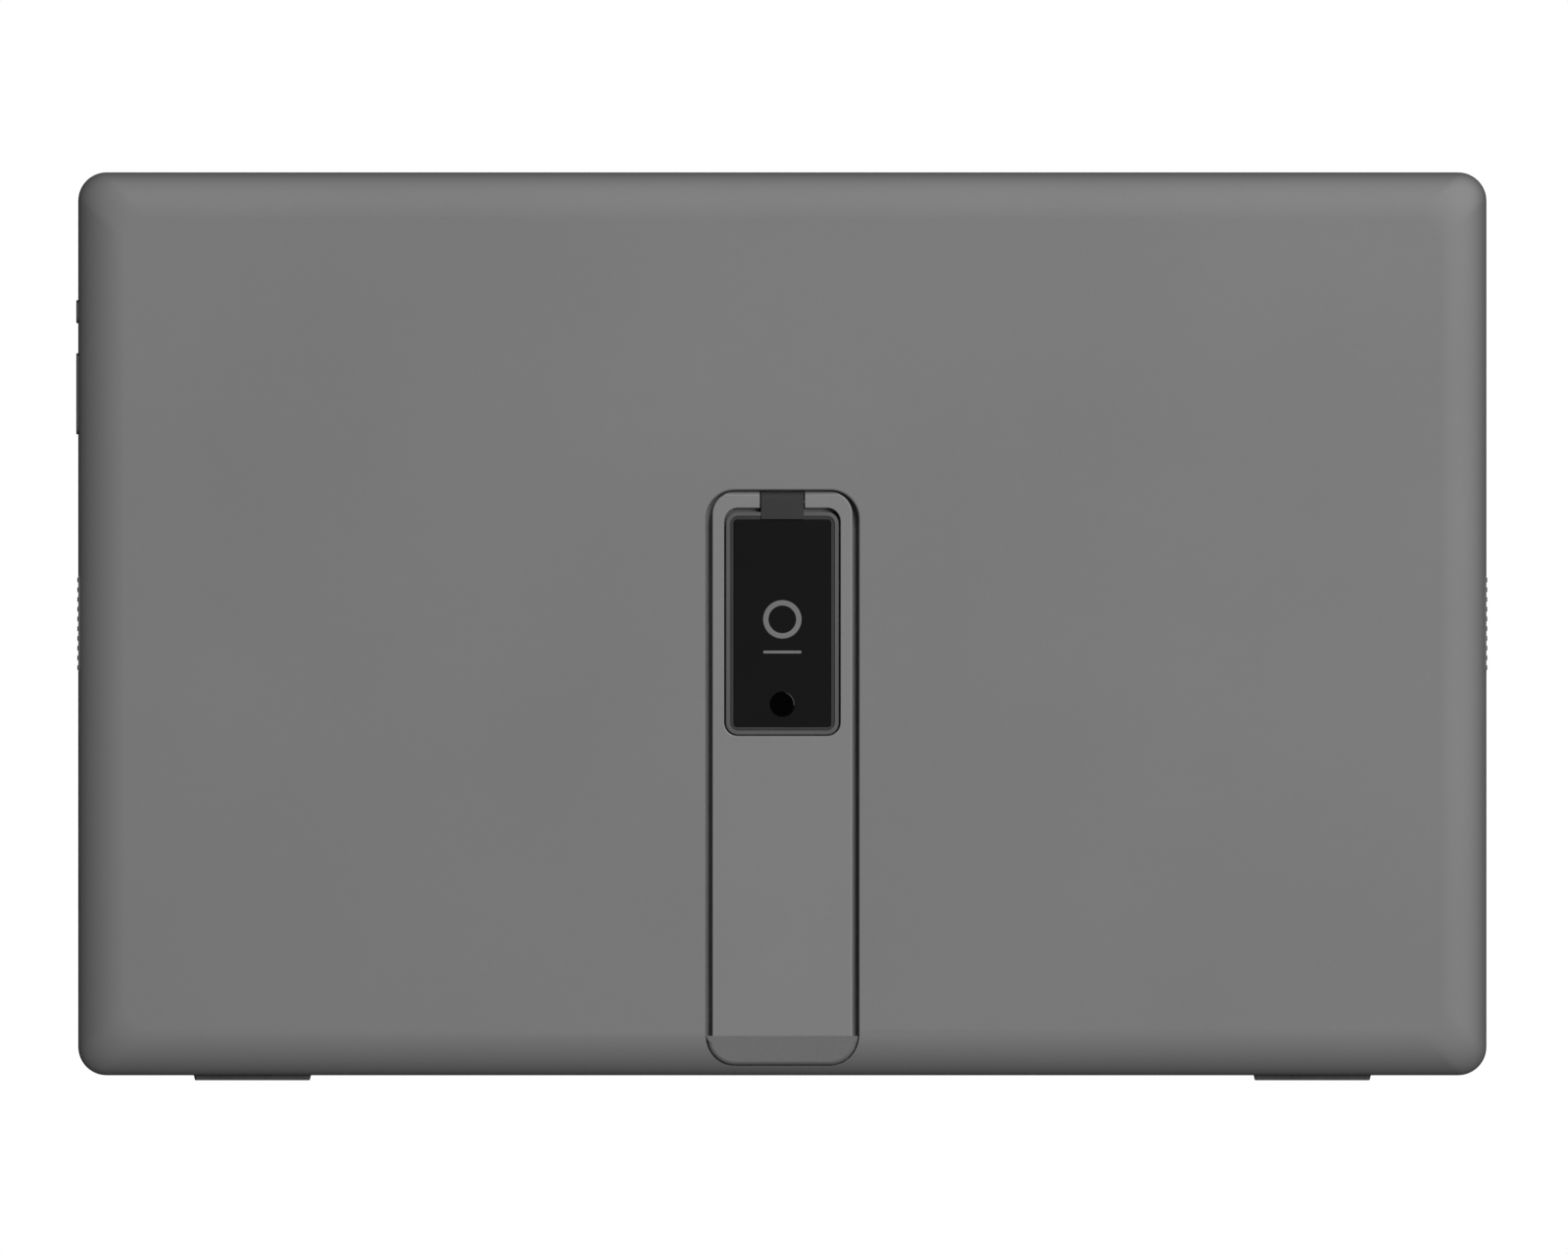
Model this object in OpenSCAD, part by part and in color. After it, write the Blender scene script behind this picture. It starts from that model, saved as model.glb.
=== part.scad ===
// Large slate tablet with a fold-out stand in the middle of its back.
// Frame: +X to the right and +Z up as seen from behind, +Y towards the screen.
// The origin is under the middle of the case, on the surface that its rubber feet stand on.

/* [Case] */
// Width of the case along its long side
case_w = 396; // [380:1:480]
// Height of the case along its short side
case_h = 254; // [246:1:310]
// Thickness from the back skin to the front of the cover glass
case_t = 12; // [12:0.2:16]
// Corner radius of the outline
corner_r = 8; // [6:0.5:10]
// Width of the rounded border of the back
edge_w = 13; // [9:0.5:16]
// Depth over which the back rounds into the side wall
edge_d = 5; // [4:0.25:5.5]
// Thickness of the back skin
skin_t = 1.6; // [1.2:0.1:2]
// Thickness of the side walls
wall_t = 1.8; // [1.4:0.1:2.2]

/* [Stand] */
// Width of the leg
leg_w = 39.5; // [36:0.5:50]
// Thickness of the leg
leg_t = 3; // [2.6:0.1:3.6]
// Corner radius of the leg's top
leg_corner_r = 6.5; // [4:0.5:9]
// Distance of the leg's face below the back skin
leg_sink = 0.1; // [0.05:0.05:0.3]
// Height of the hinge line above the bottom edge of the case
hinge_up = 161.25; // [135:0.5:195]
// Distance of the hinge line from the leg's outer face
hinge_in = 1.3; // [1.2:0.05:1.6]
// How far the leg reaches above the hinge line
leg_head = 3; // [2.7:0.1:3.6]
// Radius of the hinge pin
pin_r = 0.75; // [0.6:0.05:0.9]
// Width of the bevel round the leg's outer face
leg_bevel = 0.65; // [0.4:0.05:1]
// Length of the hinge pin
pin_l = 31; // [26:0.5:32]
// Width of the fixed knuckle between the leg's two shoulders
knuckle_w = 12.1; // [9:0.1:16]
// Width of each rail beside the leg's window
rail_w = 3.4; // [2.5:0.1:5]
// Height of the leg's window
window_h = 64.15; // [50:0.5:75]
// Corner radius of the leg's window
window_r = 3.8; // [2:0.1:5]
// Height of the rubber boot on the leg's end
boot_h = 8.2; // [6:0.1:10]
// Distance from the bottom edge of the case to the boot
boot_up = 2.9; // [2.5:0.1:5]

/* [Badge plate] */
// Width of the ring around the plate
ring_w = 2.15; // [1.5:0.05:3]
// Thickness of the plate
plate_t = 0.8; // [0.6:0.05:1]
// Radius of the camera's window
camera_r = 3.5; // [2.5:0.1:4.5]
// Distance from the plate's lower edge to the camera's axis
camera_up = 6.35; // [5:0.05:20]

/* [Screen] */
// Thickness of the cover glass
glass_t = 0.8; // [0.6:0.1:1]
// Border between the case outline and the screen's tray, at the sides
bezel_x = 12; // [11:0.5:16]
// Border between the case outline and the screen's tray, at top and bottom
bezel_z = 9; // [9:0.5:16]
// Height of the front frame's rim
frame_h = 1.3; // [1:0.1:1.6]

/* [Side controls and sockets] */
// Distance of the side controls from the back skin
side_line = 5.7; // [5:0.1:7]
// Length of the power button
power_l = 6.6; // [5:0.1:12]
// Length of the volume rocker
rocker_l = 22.9; // [18:0.1:28]
// Width of both across the case's thickness
key_w = 3; // [2.4:0.1:3.4]
// How far both stand out of the side wall
key_out = 0.55; // [0.3:0.05:1]
// Distance of the power button from the top edge
power_down = 39.2; // [30:0.5:45]
// Distance of the volume rocker from the top edge
rocker_down = 62.3; // [58:0.5:80]
// Width of a USB-C socket's metal shell
usb_w = 8.94; // [8:0.02:11]
// Height of a USB-C socket's metal shell
usb_h = 3.26; // [3:0.02:3.6]
// Width of the mini HDMI socket's metal shell
hdmi_w = 11.2; // [10:0.1:13]
// Distance from the middle of the side to the first socket
socket_down = 33.9; // [32:0.1:36]
// Distance between neighbouring sockets
socket_pitch = 20.4; // [18:0.1:21]
// Number of ribs in each speaker grille
rib_count = 10; // [6:1:10]
// Distance between neighbouring ribs
rib_pitch = 2.74; // [2.2:0.02:2.9]
// How far the ribs stand out of the side wall
rib_out = 0.25; // [0.1:0.05:0.5]

/* [Feet] */
// Length of each rubber foot
foot_l = 33; // [20:0.5:45]
// How far the feet stand out of the bottom edge
foot_out = 1.4; // [0.8:0.1:2.5]
// Distance from the middle of the case to the middle of each foot
foot_x = 149; // [100:0.5:160]

/* [Hidden] */
$fn = 48;
// Segments in each rounded corner of an outline, and in the rounded border of the back
corner_steps = 8;
border_steps = 8;

// Gaps and clearances
fit_gap = 0.1; // between parts that are laid against each other
run_gap = 0.03; // round a turning pin, on the radius
hinge_gap = 0.3; // round the leg's head as it turns
knuckle_gap = 0.3; // beside the fixed knuckle
key_gap = 0.3; // round a key
boot_gap = 0.25; // round the boot
ring_gap = 0.5; // beside the badge plate's ring
foot_floor_gap = 0.4; // under the ring, at the window's lower edge
through = 1; // how far a cut runs past what it cuts

// Thickness direction
y_back = -case_t / 2;
y_front = case_t / 2;
seam_y = y_front - frame_h - fit_gap;
side_y = y_back + side_line;

// Height direction
z_low = foot_out;
z_top = z_low + case_h;
z_mid = z_low + case_h / 2;
x_side = case_w / 2;

// Stand: the hinge line, the well that it folds into, and the leg
leg_y0 = y_back + leg_sink;
leg_y1 = leg_y0 + leg_t;
axis_y = leg_y0 + hinge_in;
axis_z = z_low + hinge_up;
head_sweep = norm([leg_head, leg_t - hinge_in]);
floor_y = axis_y + head_sweep + hinge_gap;
floor_t = 1.2;
leg_z1 = axis_z + leg_head;
boot_w = leg_w + 2.9;
boot_z = z_low + boot_up;
boot_corner_r = boot_h - 0.3;
boot_slope = 2.2;
boot_pad = 1.2;
tongue_w = 26;
tongue_l = 0.45 * boot_h;
tongue_in = 1.5; // behind the leg's outer face, so that the boot's slope covers it
tongue_back = 0.4;
leg_z0 = boot_z + boot_h;
well_w = boot_w + 2 * boot_gap;
well_z0 = boot_z - boot_gap;
well_z1 = leg_z1 + hinge_gap;
well_corner_r = boot_corner_r + boot_gap;
well_wall = 1.2;
lip = 0.5;
window_w = leg_w - 2 * rail_w;
head_bar = 4.65;
window_z1 = leg_z1 - head_bar;
window_z0 = window_z1 - window_h;
notch_w = knuckle_w + 2 * knuckle_gap;

// Ring and badge plate in the leg's window
ring_slot = 1.15;
ring_outer_w = window_w - 2 * ring_gap;
ring_z0 = window_z0 + foot_floor_gap;
ring_z1 = window_z1 - ring_slot;
ring_corner_r = window_r - ring_gap;
ring_y = y_back + 0.3;
ring_step = 0.4;
ridge_w = ring_w / 2;
plate_y0 = ring_y + ring_step;
plate_w = ring_outer_w - 2 * ring_w;
plate_z0 = ring_z0 + ring_w;
plate_z1 = ring_z1 - ring_w;
plate_mid_z = (plate_z0 + plate_z1) / 2;
plate_h = plate_z1 - plate_z0;
plate_r = 1;
bracket_t = 1.2;
seat_w = 1.6;
camera_z = plate_z0 + camera_up;
bracket_screw_dx = plate_w / 2 - seat_w - 3.2;
bracket_screw_dz = 18;
bracket_screw_r = 1;
knuckle_r = 2;
clip_t = 0.2;
clip_l = 5.4;
clip_slit = 0.4;
clip_gap = 0.02;

// Screen stack, from the glass backwards
glass_w = case_w - 3.4;
glass_h = case_h - 3.4;
glass_r = corner_r - 1.7;
tape_t = 0.2;
ledge_w = 7.5;
cell_t = 1.2;
film_t = 0.4;
guide_t = 1.5;
tray_t = 0.3;
sheet_gap = 0.05;
tray_w = case_w - 2 * bezel_x;
tray_h = case_h - 2 * bezel_z;
glass_y0 = y_front - glass_t;
cell_y1 = glass_y0 - fit_gap;
cell_y0 = cell_y1 - cell_t;
film_y1 = cell_y0 - sheet_gap;
guide_y1 = film_y1 - film_t - sheet_gap;
tray_y1 = guide_y1 - guide_t - sheet_gap;
tray_y0 = tray_y1 - tray_t;
led_h = 3;

// Front camera, in the frame's ledge above the screen
selfie_r = 2.2;
selfie_w = 5.6;
selfie_h = 4.6;
selfie_z = z_top - wall_t - 3.6;

// Metal mid frame behind the screen
mid_t = 0.5;
mid_y1 = tray_y0 - 0.25;
mid_y0 = mid_y1 - mid_t;
mid_w = tray_w + 4;
mid_h = tray_h + 1;
ribbon_room = 2.4; // round the well's wall, where the camera's ribbon passes
boss_r = 3;
screw_r = 0.9;
boss_spots = [for (side = [-1, 1], spot = [[46, -106], [46, 104], [146, 82], [76, 1.6]])
    [side * (x_side - spot[0]), z_mid + spot[1]]];

// Inside of the shell
inner_y = y_back + skin_t;
inner_x = x_side - wall_t;

// Batteries on both sides of the well
battery_gap = 2.4;
battery_t = 4;
battery_y0 = inner_y + 0.2;
battery_x0 = well_w / 2 + well_wall + battery_gap;
pcm_h = 5;
battery_z0 = z_low + 15;
battery_h = well_z1 - battery_z0 - pcm_h - 0.5;

// Main board at the left, with the sockets on its outer edge
board_t = 1;
board_w = 94;
board_down = 24.4;
board_h = 66;
board_x0 = -x_side + 4;
board_x1 = board_x0 + board_w;
board_z1 = z_mid - board_down;
board_z0 = board_z1 - board_h;
board_y1 = side_y + board_t / 2;
board_y0 = side_y - board_t / 2;
board_spots = [[board_x0 + 16, board_z0 + 4], [board_x0 + 16, board_z1 - 4],
    [board_x1 - 4, board_z0 + 4], [board_x1 - 4, board_z1 - 4]];
board_boss_r = 2.5;
board_screw_r = 0.8;
can_w = 46;
can_d = 36;
can_h = 2.2;
spreader_edge = 10;
spreader_t = 0.3;
can_x = board_x1 - 34;
can_z = board_z0 + 36;
battery_x1 = -board_x1 - 5;

// Sockets
socket_mouth = 0.6;
usb_l = 8.8;
usb_shell_t = 0.25;
hdmi_h = 3.3;
hdmi_l = 8.4;
usb_z = [z_mid - socket_down, z_mid - socket_down - socket_pitch + 0.5];
hdmi_z = z_mid - socket_down - 2 * socket_pitch;
opening_gap = 0.18;

// Keys on the left side
key_wall = 2.8;
key_face_x = -x_side + key_wall;
key_travel = 0.4;
power_z = z_top - power_down;
rocker_z = z_top - rocker_down;
flange_t = 0.6;
flange_w = 0.9;
nub_l = 0.8;
nub_r = 0.8;
flange_x = key_face_x + 0.05;
nub_x = flange_x + flange_t + nub_l;
switch_x = nub_x + key_travel + 0.1;
switch_t = 1.35;
key_board_x = switch_x + switch_t;
key_board_t = 0.8;
key_board_w = 4.8;
key_board_z0 = rocker_z - rocker_l / 2 - 3;
key_board_z1 = power_z + 7;
rocker_nub_z = 8;
rocker_tilt = 1.2;
rocker_nub_gap = rocker_nub_z * sin(rocker_tilt) + 0.06;
trunnion_r = 0.8;
ear_t = 0.8;
ear_h = 3;
ear_gap = 0.2;
trunnion_x = flange_x + ear_h / 2 + 0.1;
trunnion_l = key_w + 2 * (ear_gap + ear_t);
key_pocket_w = trunnion_l + 2 * key_gap;

// Speakers
grille_l = rib_count * rib_pitch + 1.4;
grille_w = 4;
grille_d = 3;
slot_w = rib_pitch / 2;
slot_h = 3;
box_l = 42;
box_front_d = 11;
box_back_d = 24;
box_y1 = side_y + 0.8;
box_x0 = inner_x - 2.2;

// Feet
foot_w = 4.4;
foot_y = side_y + 2.2;
foot_in = 0.8;
foot_draft = 0.5;

// Wires and ribbon cables
ribbon_t = 0.12;
key_ribbon_w = 5;
wire_r = 0.5;
lane_x = (board_x1 - battery_x1) / 2;
lane_z = well_z1 + 6;
bend_r = 3;

// ---------- Shapes that the parts share ----------

// Points of a rounded rectangle, width by height, about a centre
function rounded(w, h, r, cx = 0, cz = 0) = [
    for (corner = [0:3], i = [0:corner_steps])
        let (a = 90 * corner + 90 * i / corner_steps,
             sx = (corner == 0 || corner == 3) ? 1 : -1,
             sz = corner < 2 ? 1 : -1)
        [cx + sx * (w / 2 - r) + r * cos(a), cz + sz * (h / 2 - r) + r * sin(a)]];

// A flat outline in X and Z, pushed from y0 to y1
module slab(points, y0, y1) {
    translate([0, y1, 0]) rotate([90, 0, 0]) linear_extrude(y1 - y0) polygon(points);
}

// A box given by its lowest and highest corners
module block(low, high) {
    translate(low) cube(high - low);
}

// Round bars along each axis
module bar_x(x0, x1, y, z, r) {
    translate([x0, y, z]) rotate([0, 90, 0]) cylinder(r = r, h = x1 - x0);
}
module bar_y(x, z, y0, y1, r) {
    translate([x, y1, z]) rotate([90, 0, 0]) cylinder(r = r, h = y1 - y0);
}

// A slot with round ends in the side wall, long way up, from x0 to x1
module side_slot(x0, x1, y, z, w, l, r) {
    translate([x0, y, z]) rotate([90, 0, 90]) linear_extrude(x1 - x0)
        polygon(rounded(w, l, r));
}

// Outlines stacked along Y. Each ring is [inset, y], and all keep the same corner radius
module stacked(w, h, r, cz, rings) {
    n = 4 * (corner_steps + 1);
    points = [for (ring = rings, p = rounded(w - 2 * ring[0], h - 2 * ring[0], r, 0, cz))
        [p[0], ring[1], p[1]]];
    sides = [for (k = [0:len(rings) - 2], i = [0:n - 1])
        [k * n + i, k * n + (i + 1) % n, (k + 1) * n + (i + 1) % n, (k + 1) * n + i]];
    caps = [[for (i = [n - 1:-1:0]) i], [for (i = [0:n - 1]) (len(rings) - 1) * n + i]];
    polyhedron(points, concat(sides, caps));
}

// Rings of the rounded back border, from the flat back to the straight side wall
function border(inset, width, y0, depth) = [for (k = [border_steps:-1:0])
    let (a = 90 * k / border_steps)
    [inset + width * (1 - cos(a)), y0 + depth * (1 - sin(a))]];

// A wire's corner in the XZ plane, turning between the two given directions
module wire_corner(x, z, y, start) {
    translate([x, y, z]) rotate([90, 0, 0]) rotate([0, 0, start])
        rotate_extrude(angle = 90) translate([bend_r, 0]) circle(r = wire_r);
}
module wire_x(x0, x1, y, z) {
    bar_x(x0, x1, y, z, wire_r);
}
module wire_z(x, y, z0, z1) {
    translate([x, y, z0]) cylinder(r = wire_r, h = z1 - z0);
}

// ---------- Casing ----------

module outer_form() {
    stacked(case_w, case_h, corner_r, z_mid,
        concat(border(0, edge_w, y_back, edge_d), [[0, seam_y]]));
}

module inner_form() {
    stacked(case_w, case_h, corner_r - wall_t, z_mid,
        concat(border(wall_t, edge_w - wall_t, inner_y, edge_d - skin_t), [[wall_t, seam_y + through]]));
}

// The outline of the stand's well, grown by a margin
function well_outline(margin) = rounded(well_w + 2 * margin, well_z1 - well_z0 + 2 * margin,
    well_corner_r + margin, 0, (well_z0 + well_z1) / 2);

module bosses() {
    for (p = boss_spots)
        bar_y(p[0], p[1], y_back + skin_t / 2, mid_y0, boss_r);
    for (p = board_spots)
        bar_y(p[0], p[1], y_back + skin_t / 2, board_y0, board_boss_r);
}

module rear_shell() {
    color("dimgray") difference() {
        outer_form();
        difference() {
            inner_form();
            slab(well_outline(well_wall), y_back, floor_y + floor_t);
            bosses();
            block([-x_side, y_back, key_board_z0 - 2], [key_face_x, side_y + 3, key_board_z1 + 2]);
        }
        block([key_face_x, side_y - key_pocket_w / 2, rocker_z - rocker_l / 2 - 2],
            [key_board_x, side_y + key_pocket_w / 2, power_z + power_l / 2 + 2]);
        slab(well_outline(0), y_back - through, floor_y);
        stacked(well_w, well_z1 - well_z0, well_corner_r, (well_z0 + well_z1) / 2,
            [[-2 * lip, y_back - lip], [0, y_back + lip]]);
        for (p = boss_spots)
            bar_y(p[0], p[1], y_back + skin_t, mid_y0 + through, screw_r);
        for (p = board_spots)
            bar_y(p[0], p[1], y_back + skin_t, board_y0 + through, board_screw_r);
        bracket_holes(bracket_screw_r, floor_y - through, floor_y + floor_t + through);
        camera_slot(floor_y - through, floor_y + floor_t + through);
        for (z = usb_z)
            side_slot(-x_side - through, -x_side + 4, side_y, z, usb_h + 2 * opening_gap,
                usb_w + 2 * opening_gap, usb_h / 2);
        side_slot(-x_side - through, -x_side + 4, side_y, hdmi_z, hdmi_h + 2 * opening_gap,
            hdmi_w + 2 * opening_gap, 0.4);
        side_slot(-x_side - through, key_face_x + through, side_y, power_z, key_w + key_gap,
            power_l + 2 * key_gap, (key_w + key_gap) / 2);
        side_slot(-x_side - through, key_face_x + through, side_y, rocker_z, key_w + key_gap,
            rocker_l + 2 * key_gap, (key_w + key_gap) / 2);
        for (side = [-1, 1])
            scale([side, 1, 1]) side_slot(x_side - grille_d - 0.2, x_side + through, side_y, z_mid,
                grille_w + fit_gap, grille_l + fit_gap, grille_w / 2);
        for (side = [-1, 1])
            block([side * foot_x - foot_l / 2, foot_y - foot_w / 2, z_low - through],
                [side * foot_x + foot_l / 2, foot_y + foot_w / 2, z_low + foot_in]);
    }
}

module front_frame() {
    color("black") difference() {
        union() {
            stacked(case_w, case_h, corner_r, z_mid,
                [[0, seam_y], [0, y_front - fit_gap - 0.4], [0.4, y_front - fit_gap]]);
            slab(rounded(case_w - 2 * wall_t - fit_gap, case_h - 2 * wall_t - fit_gap,
                corner_r - wall_t, 0, z_mid), seam_y - 1.2, seam_y + 0.2);
        }
        slab(rounded(glass_w + 2 * fit_gap, glass_h + 2 * fit_gap, glass_r, 0, z_mid),
            glass_y0 - tape_t, y_front + through);
        slab(rounded(glass_w - 2 * ledge_w, glass_h - 2 * ledge_w + 4, glass_r, 0, z_mid),
            seam_y - 2 * through, y_front);
        slab(rounded(case_w - 2 * wall_t - 2, case_h - 2 * wall_t - 2, corner_r - wall_t - 1, 0, z_mid),
            seam_y - 2 * through, seam_y);
        bar_y(0, selfie_z, seam_y - through, y_front, selfie_r + fit_gap);
    }
}

module foot(side) {
    color("#2b2b2b") union() {
        block([side * foot_x - foot_l / 2, foot_y - foot_w / 2, z_low],
            [side * foot_x + foot_l / 2, foot_y + foot_w / 2, z_low + foot_in]);
        translate([side * foot_x, foot_y + foot_w / 2, 0]) rotate([90, 0, 0])
            linear_extrude(foot_w) polygon([[-foot_l / 2, z_low], [foot_l / 2, z_low],
                [foot_l / 2 - foot_draft, 0], [-foot_l / 2 + foot_draft, 0]]);
    }
}

// ---------- Screen ----------

module cover_glass() {
    color("black") slab(rounded(glass_w, glass_h, glass_r, 0, z_mid), glass_y0, y_front);
}

module glass_tape() {
    color("white") difference() {
        slab(rounded(glass_w - 1, glass_h - 1, glass_r, 0, z_mid), glass_y0 - tape_t, glass_y0);
        slab(rounded(glass_w - 2 * ledge_w + 4, glass_h - 2 * ledge_w + 8, glass_r, 0, z_mid),
            glass_y0 - 2 * tape_t, glass_y0 + tape_t);
        bar_y(0, selfie_z, glass_y0 - 2 * tape_t, glass_y0 + tape_t, selfie_r + fit_gap);
    }
}

module screen_sheet(margin, y0, y1) {
    w = tray_w / 2 - margin;
    h = tray_h / 2 - margin;
    block([-w, y0, z_mid - h], [w, y1, z_mid + h]);
}

module lcd_cell() {
    color("#101418") screen_sheet(fit_gap, cell_y0, cell_y1);
}

module optical_films() {
    color("white") screen_sheet(tray_t + fit_gap, film_y1 - film_t, film_y1);
}

module light_guide() {
    color("lightcyan") difference() {
        screen_sheet(tray_t + fit_gap, guide_y1 - guide_t, guide_y1);
        block([-tray_w, guide_y1 - 2 * guide_t, z_low], [tray_w, y_front, z_mid - tray_h / 2 + led_h]);
    }
}

module led_bar() {
    z0 = z_mid - tray_h / 2 + tray_t + fit_gap;
    w = tray_w / 2 - tray_t - fit_gap;
    color("gold") block([-w, guide_y1 - guide_t, z0], [w, guide_y1, z0 + led_h - tray_t - 2 * fit_gap]);
}

module backlight_tray() {
    color("silver") difference() {
        screen_sheet(0, tray_y0, film_y1);
        screen_sheet(tray_t, tray_y1, y_front);
    }
}

module mid_frame() {
    color("gainsboro") difference() {
        slab(rounded(mid_w, mid_h, 4, 0, z_mid), mid_y0, mid_y1);
        slab(well_outline(well_wall + ribbon_room), mid_y0 - through, mid_y1 + through);
        for (x = [-1, 1] * 120)
            slab(rounded(50, 60, 4, x, z_mid + 52), mid_y0 - through, mid_y1 + through);
        slab(rounded(34, 12, 2, board_x0 + 50, board_z0 + 20), mid_y0 - through, mid_y1 + through);
        for (p = boss_spots)
            translate([p[0], mid_y0 - fit_gap, p[1]]) rotate([-90, 0, 0])
                cylinder(r1 = screw_r, r2 = screw_r + 1.2, h = mid_t + 2 * fit_gap);
    }
}

module frame_screws() {
    color("silver") for (p = boss_spots) {
        translate([p[0], mid_y0, p[1]]) rotate([-90, 0, 0])
            cylinder(r1 = screw_r - 0.02, r2 = screw_r + 0.9, h = mid_t);
        bar_y(p[0], p[1], mid_y0 - 3.6, mid_y0 + 0.05, screw_r - 0.02);
    }
}

// ---------- Power and electronics ----------

module battery(side) {
    w = battery_x1 - battery_x0;
    color("slategray") slab(rounded(w, battery_h, 2, side * (battery_x0 + battery_x1) / 2,
        battery_z0 + battery_h / 2), battery_y0, battery_y0 + battery_t);
}

module battery_boards() {
    z0 = battery_z0 + battery_h + fit_gap;
    color("darkgreen") for (side = [-1, 1]) {
        x = side * (battery_x0 + battery_x1) / 2;
        block([x - 26, battery_y0 + 1, z0], [x + 26, battery_y0 + 2, z0 + pcm_h]);
    }
}

// Ribbon that joins both batteries over the top of the well and runs down to the main board
module battery_ribbon() {
    y0 = battery_y0 + 2 + fit_gap;
    z0 = battery_z0 + battery_h + 1;
    x_mid = (battery_x0 + battery_x1) / 2;
    color("darkorange") slab([[x_mid - 4, z0], [x_mid + 4, z0], [x_mid + 4, lane_z + 9],
        [-x_mid - 4, lane_z + 9], [-x_mid - 4, z0], [-x_mid + 4, z0], [-x_mid + 4, lane_z + 2],
        [x_mid - 4, lane_z + 2]], y0, y0 + 2 * ribbon_t);
}

module main_board() {
    color("darkgreen") difference() {
        block([board_x0, board_y0, board_z0], [board_x1, board_y1, board_z1]);
        for (z = usb_z)
            block([-x_side, board_y0 - through, z - usb_w / 2 - fit_gap],
                [-x_side + socket_mouth + usb_l + fit_gap, board_y1 + through, z + usb_w / 2 + fit_gap]);
        block([-x_side, board_y0 - through, hdmi_z - hdmi_w / 2 - fit_gap],
            [-x_side + socket_mouth + hdmi_l + fit_gap, board_y1 + through, hdmi_z + hdmi_w / 2 + fit_gap]);
        for (p = board_spots)
            bar_y(p[0], p[1], board_y0 - through, board_y1 + through, board_screw_r + 0.1);
    }
}

// Each chip is [x, z, width, height, thickness] from the board's lower right corner
module board_chips() {
    chips = [[-34, 36, 17, 17, 1.3], [-50, 26, 11, 13, 1], [-50, 42, 11, 13, 1], [-17, 30, 9, 9, 0.9],
        [-17, 45, 7, 7, 0.9]];
    fronts = [[-20, 10, 12, 3, 0.5], [-44, 8, 30, 4, 0.35], [-10, 54, 4, 14, 0.35], [-58, 58, 12, 4, 0.35]];
    color("#202020") {
        for (c = chips)
            block([board_x1 + c[0] - c[2] / 2, board_y0 - c[4], board_z0 + c[1] - c[3] / 2],
                [board_x1 + c[0] + c[2] / 2, board_y0, board_z0 + c[1] + c[3] / 2]);
        for (c = fronts)
            block([board_x1 + c[0] - c[2] / 2, board_y1, board_z0 + c[1] - c[3] / 2],
                [board_x1 + c[0] + c[2] / 2, board_y1 + c[4], board_z0 + c[1] + c[3] / 2]);
    }
}

module shield_can() {
    color("silver") difference() {
        slab(rounded(can_w, can_d, 1.5, can_x, can_z), board_y0 - can_h, board_y0);
        slab(rounded(can_w - 0.6, can_d - 0.6, 1.2, can_x, can_z), board_y0 - can_h + 0.3,
            board_y0 + through);
    }
}

module heat_spreader() {
    color("#404448") slab(rounded(can_w + spreader_edge, can_d + spreader_edge, 2, can_x, can_z),
        board_y0 - can_h - spreader_t, board_y0 - can_h);
}

module board_screws() {
    color("silver") for (p = board_spots) {
        bar_y(p[0], p[1], board_y1, board_y1 + 0.4, 1.6);
        bar_y(p[0], p[1], board_y0 - 2, board_y1 + 0.05, board_screw_r - 0.02);
    }
}

module usb_shell(z) {
    x0 = -x_side + socket_mouth;
    color("silver") difference() {
        side_slot(x0, x0 + usb_l, side_y, z, usb_h, usb_w, usb_h / 2 - 0.02);
        side_slot(x0 - through, x0 + usb_l - 0.4, side_y, z, usb_h - 2 * usb_shell_t,
            usb_w - 2 * usb_shell_t, usb_h / 2 - usb_shell_t - 0.02);
    }
}

module usb_tongue(z) {
    x1 = -x_side + socket_mouth + usb_l - 0.4;
    color("#151515") union() {
        block([x1 - 6.6, side_y - 0.35, z - 3.35], [x1, side_y + 0.35, z + 3.35]);
        side_slot(x1 - 1.2, x1, side_y, z, usb_h - 2 * usb_shell_t, usb_w - 2 * usb_shell_t,
            usb_h / 2 - usb_shell_t - 0.02);
    }
}

// The mini HDMI shell narrows towards the back of the case, as its plug does
function hdmi_outline(inset) = let (w = hdmi_w / 2 - inset, h = hdmi_h / 2 - inset, cut = 1.1)
    [[-h, -w + cut], [-h, w - cut], [0, w], [h, w], [h, -w], [0, -w]];

module hdmi_prism(x0, x1, inset) {
    translate([x0, side_y, hdmi_z]) rotate([90, 0, 90]) linear_extrude(x1 - x0)
        polygon(hdmi_outline(inset));
}

module mini_hdmi_shell() {
    x0 = -x_side + socket_mouth;
    color("silver") difference() {
        hdmi_prism(x0, x0 + hdmi_l, 0);
        hdmi_prism(x0 - through, x0 + hdmi_l - 0.4, 0.25);
    }
}

module mini_hdmi_tongue() {
    x1 = -x_side + socket_mouth + hdmi_l - 0.4;
    color("#151515") union() {
        block([x1 - 6, side_y - 0.35, hdmi_z - 4], [x1, side_y + 0.35, hdmi_z + 4]);
        hdmi_prism(x1 - 1.2, x1, 0.25);
    }
}

module display_ribbon() {
    x0 = board_x0 + 37;
    z0 = board_z0 + 6;
    y0 = board_y1 + 0.35;
    y1 = tray_y0 - ribbon_t;
    color("darkorange") translate([x0, 0, 0]) rotate([90, 0, 90]) linear_extrude(26)
        polygon([[y0, z0], [y0 + ribbon_t, z0], [y0 + ribbon_t, z0 + 11], [y1 + ribbon_t, z0 + 13],
            [y1 + ribbon_t, z0 + 40], [y1, z0 + 40], [y1, z0 + 13.2], [y0, z0 + 11.2]]);
}

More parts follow.
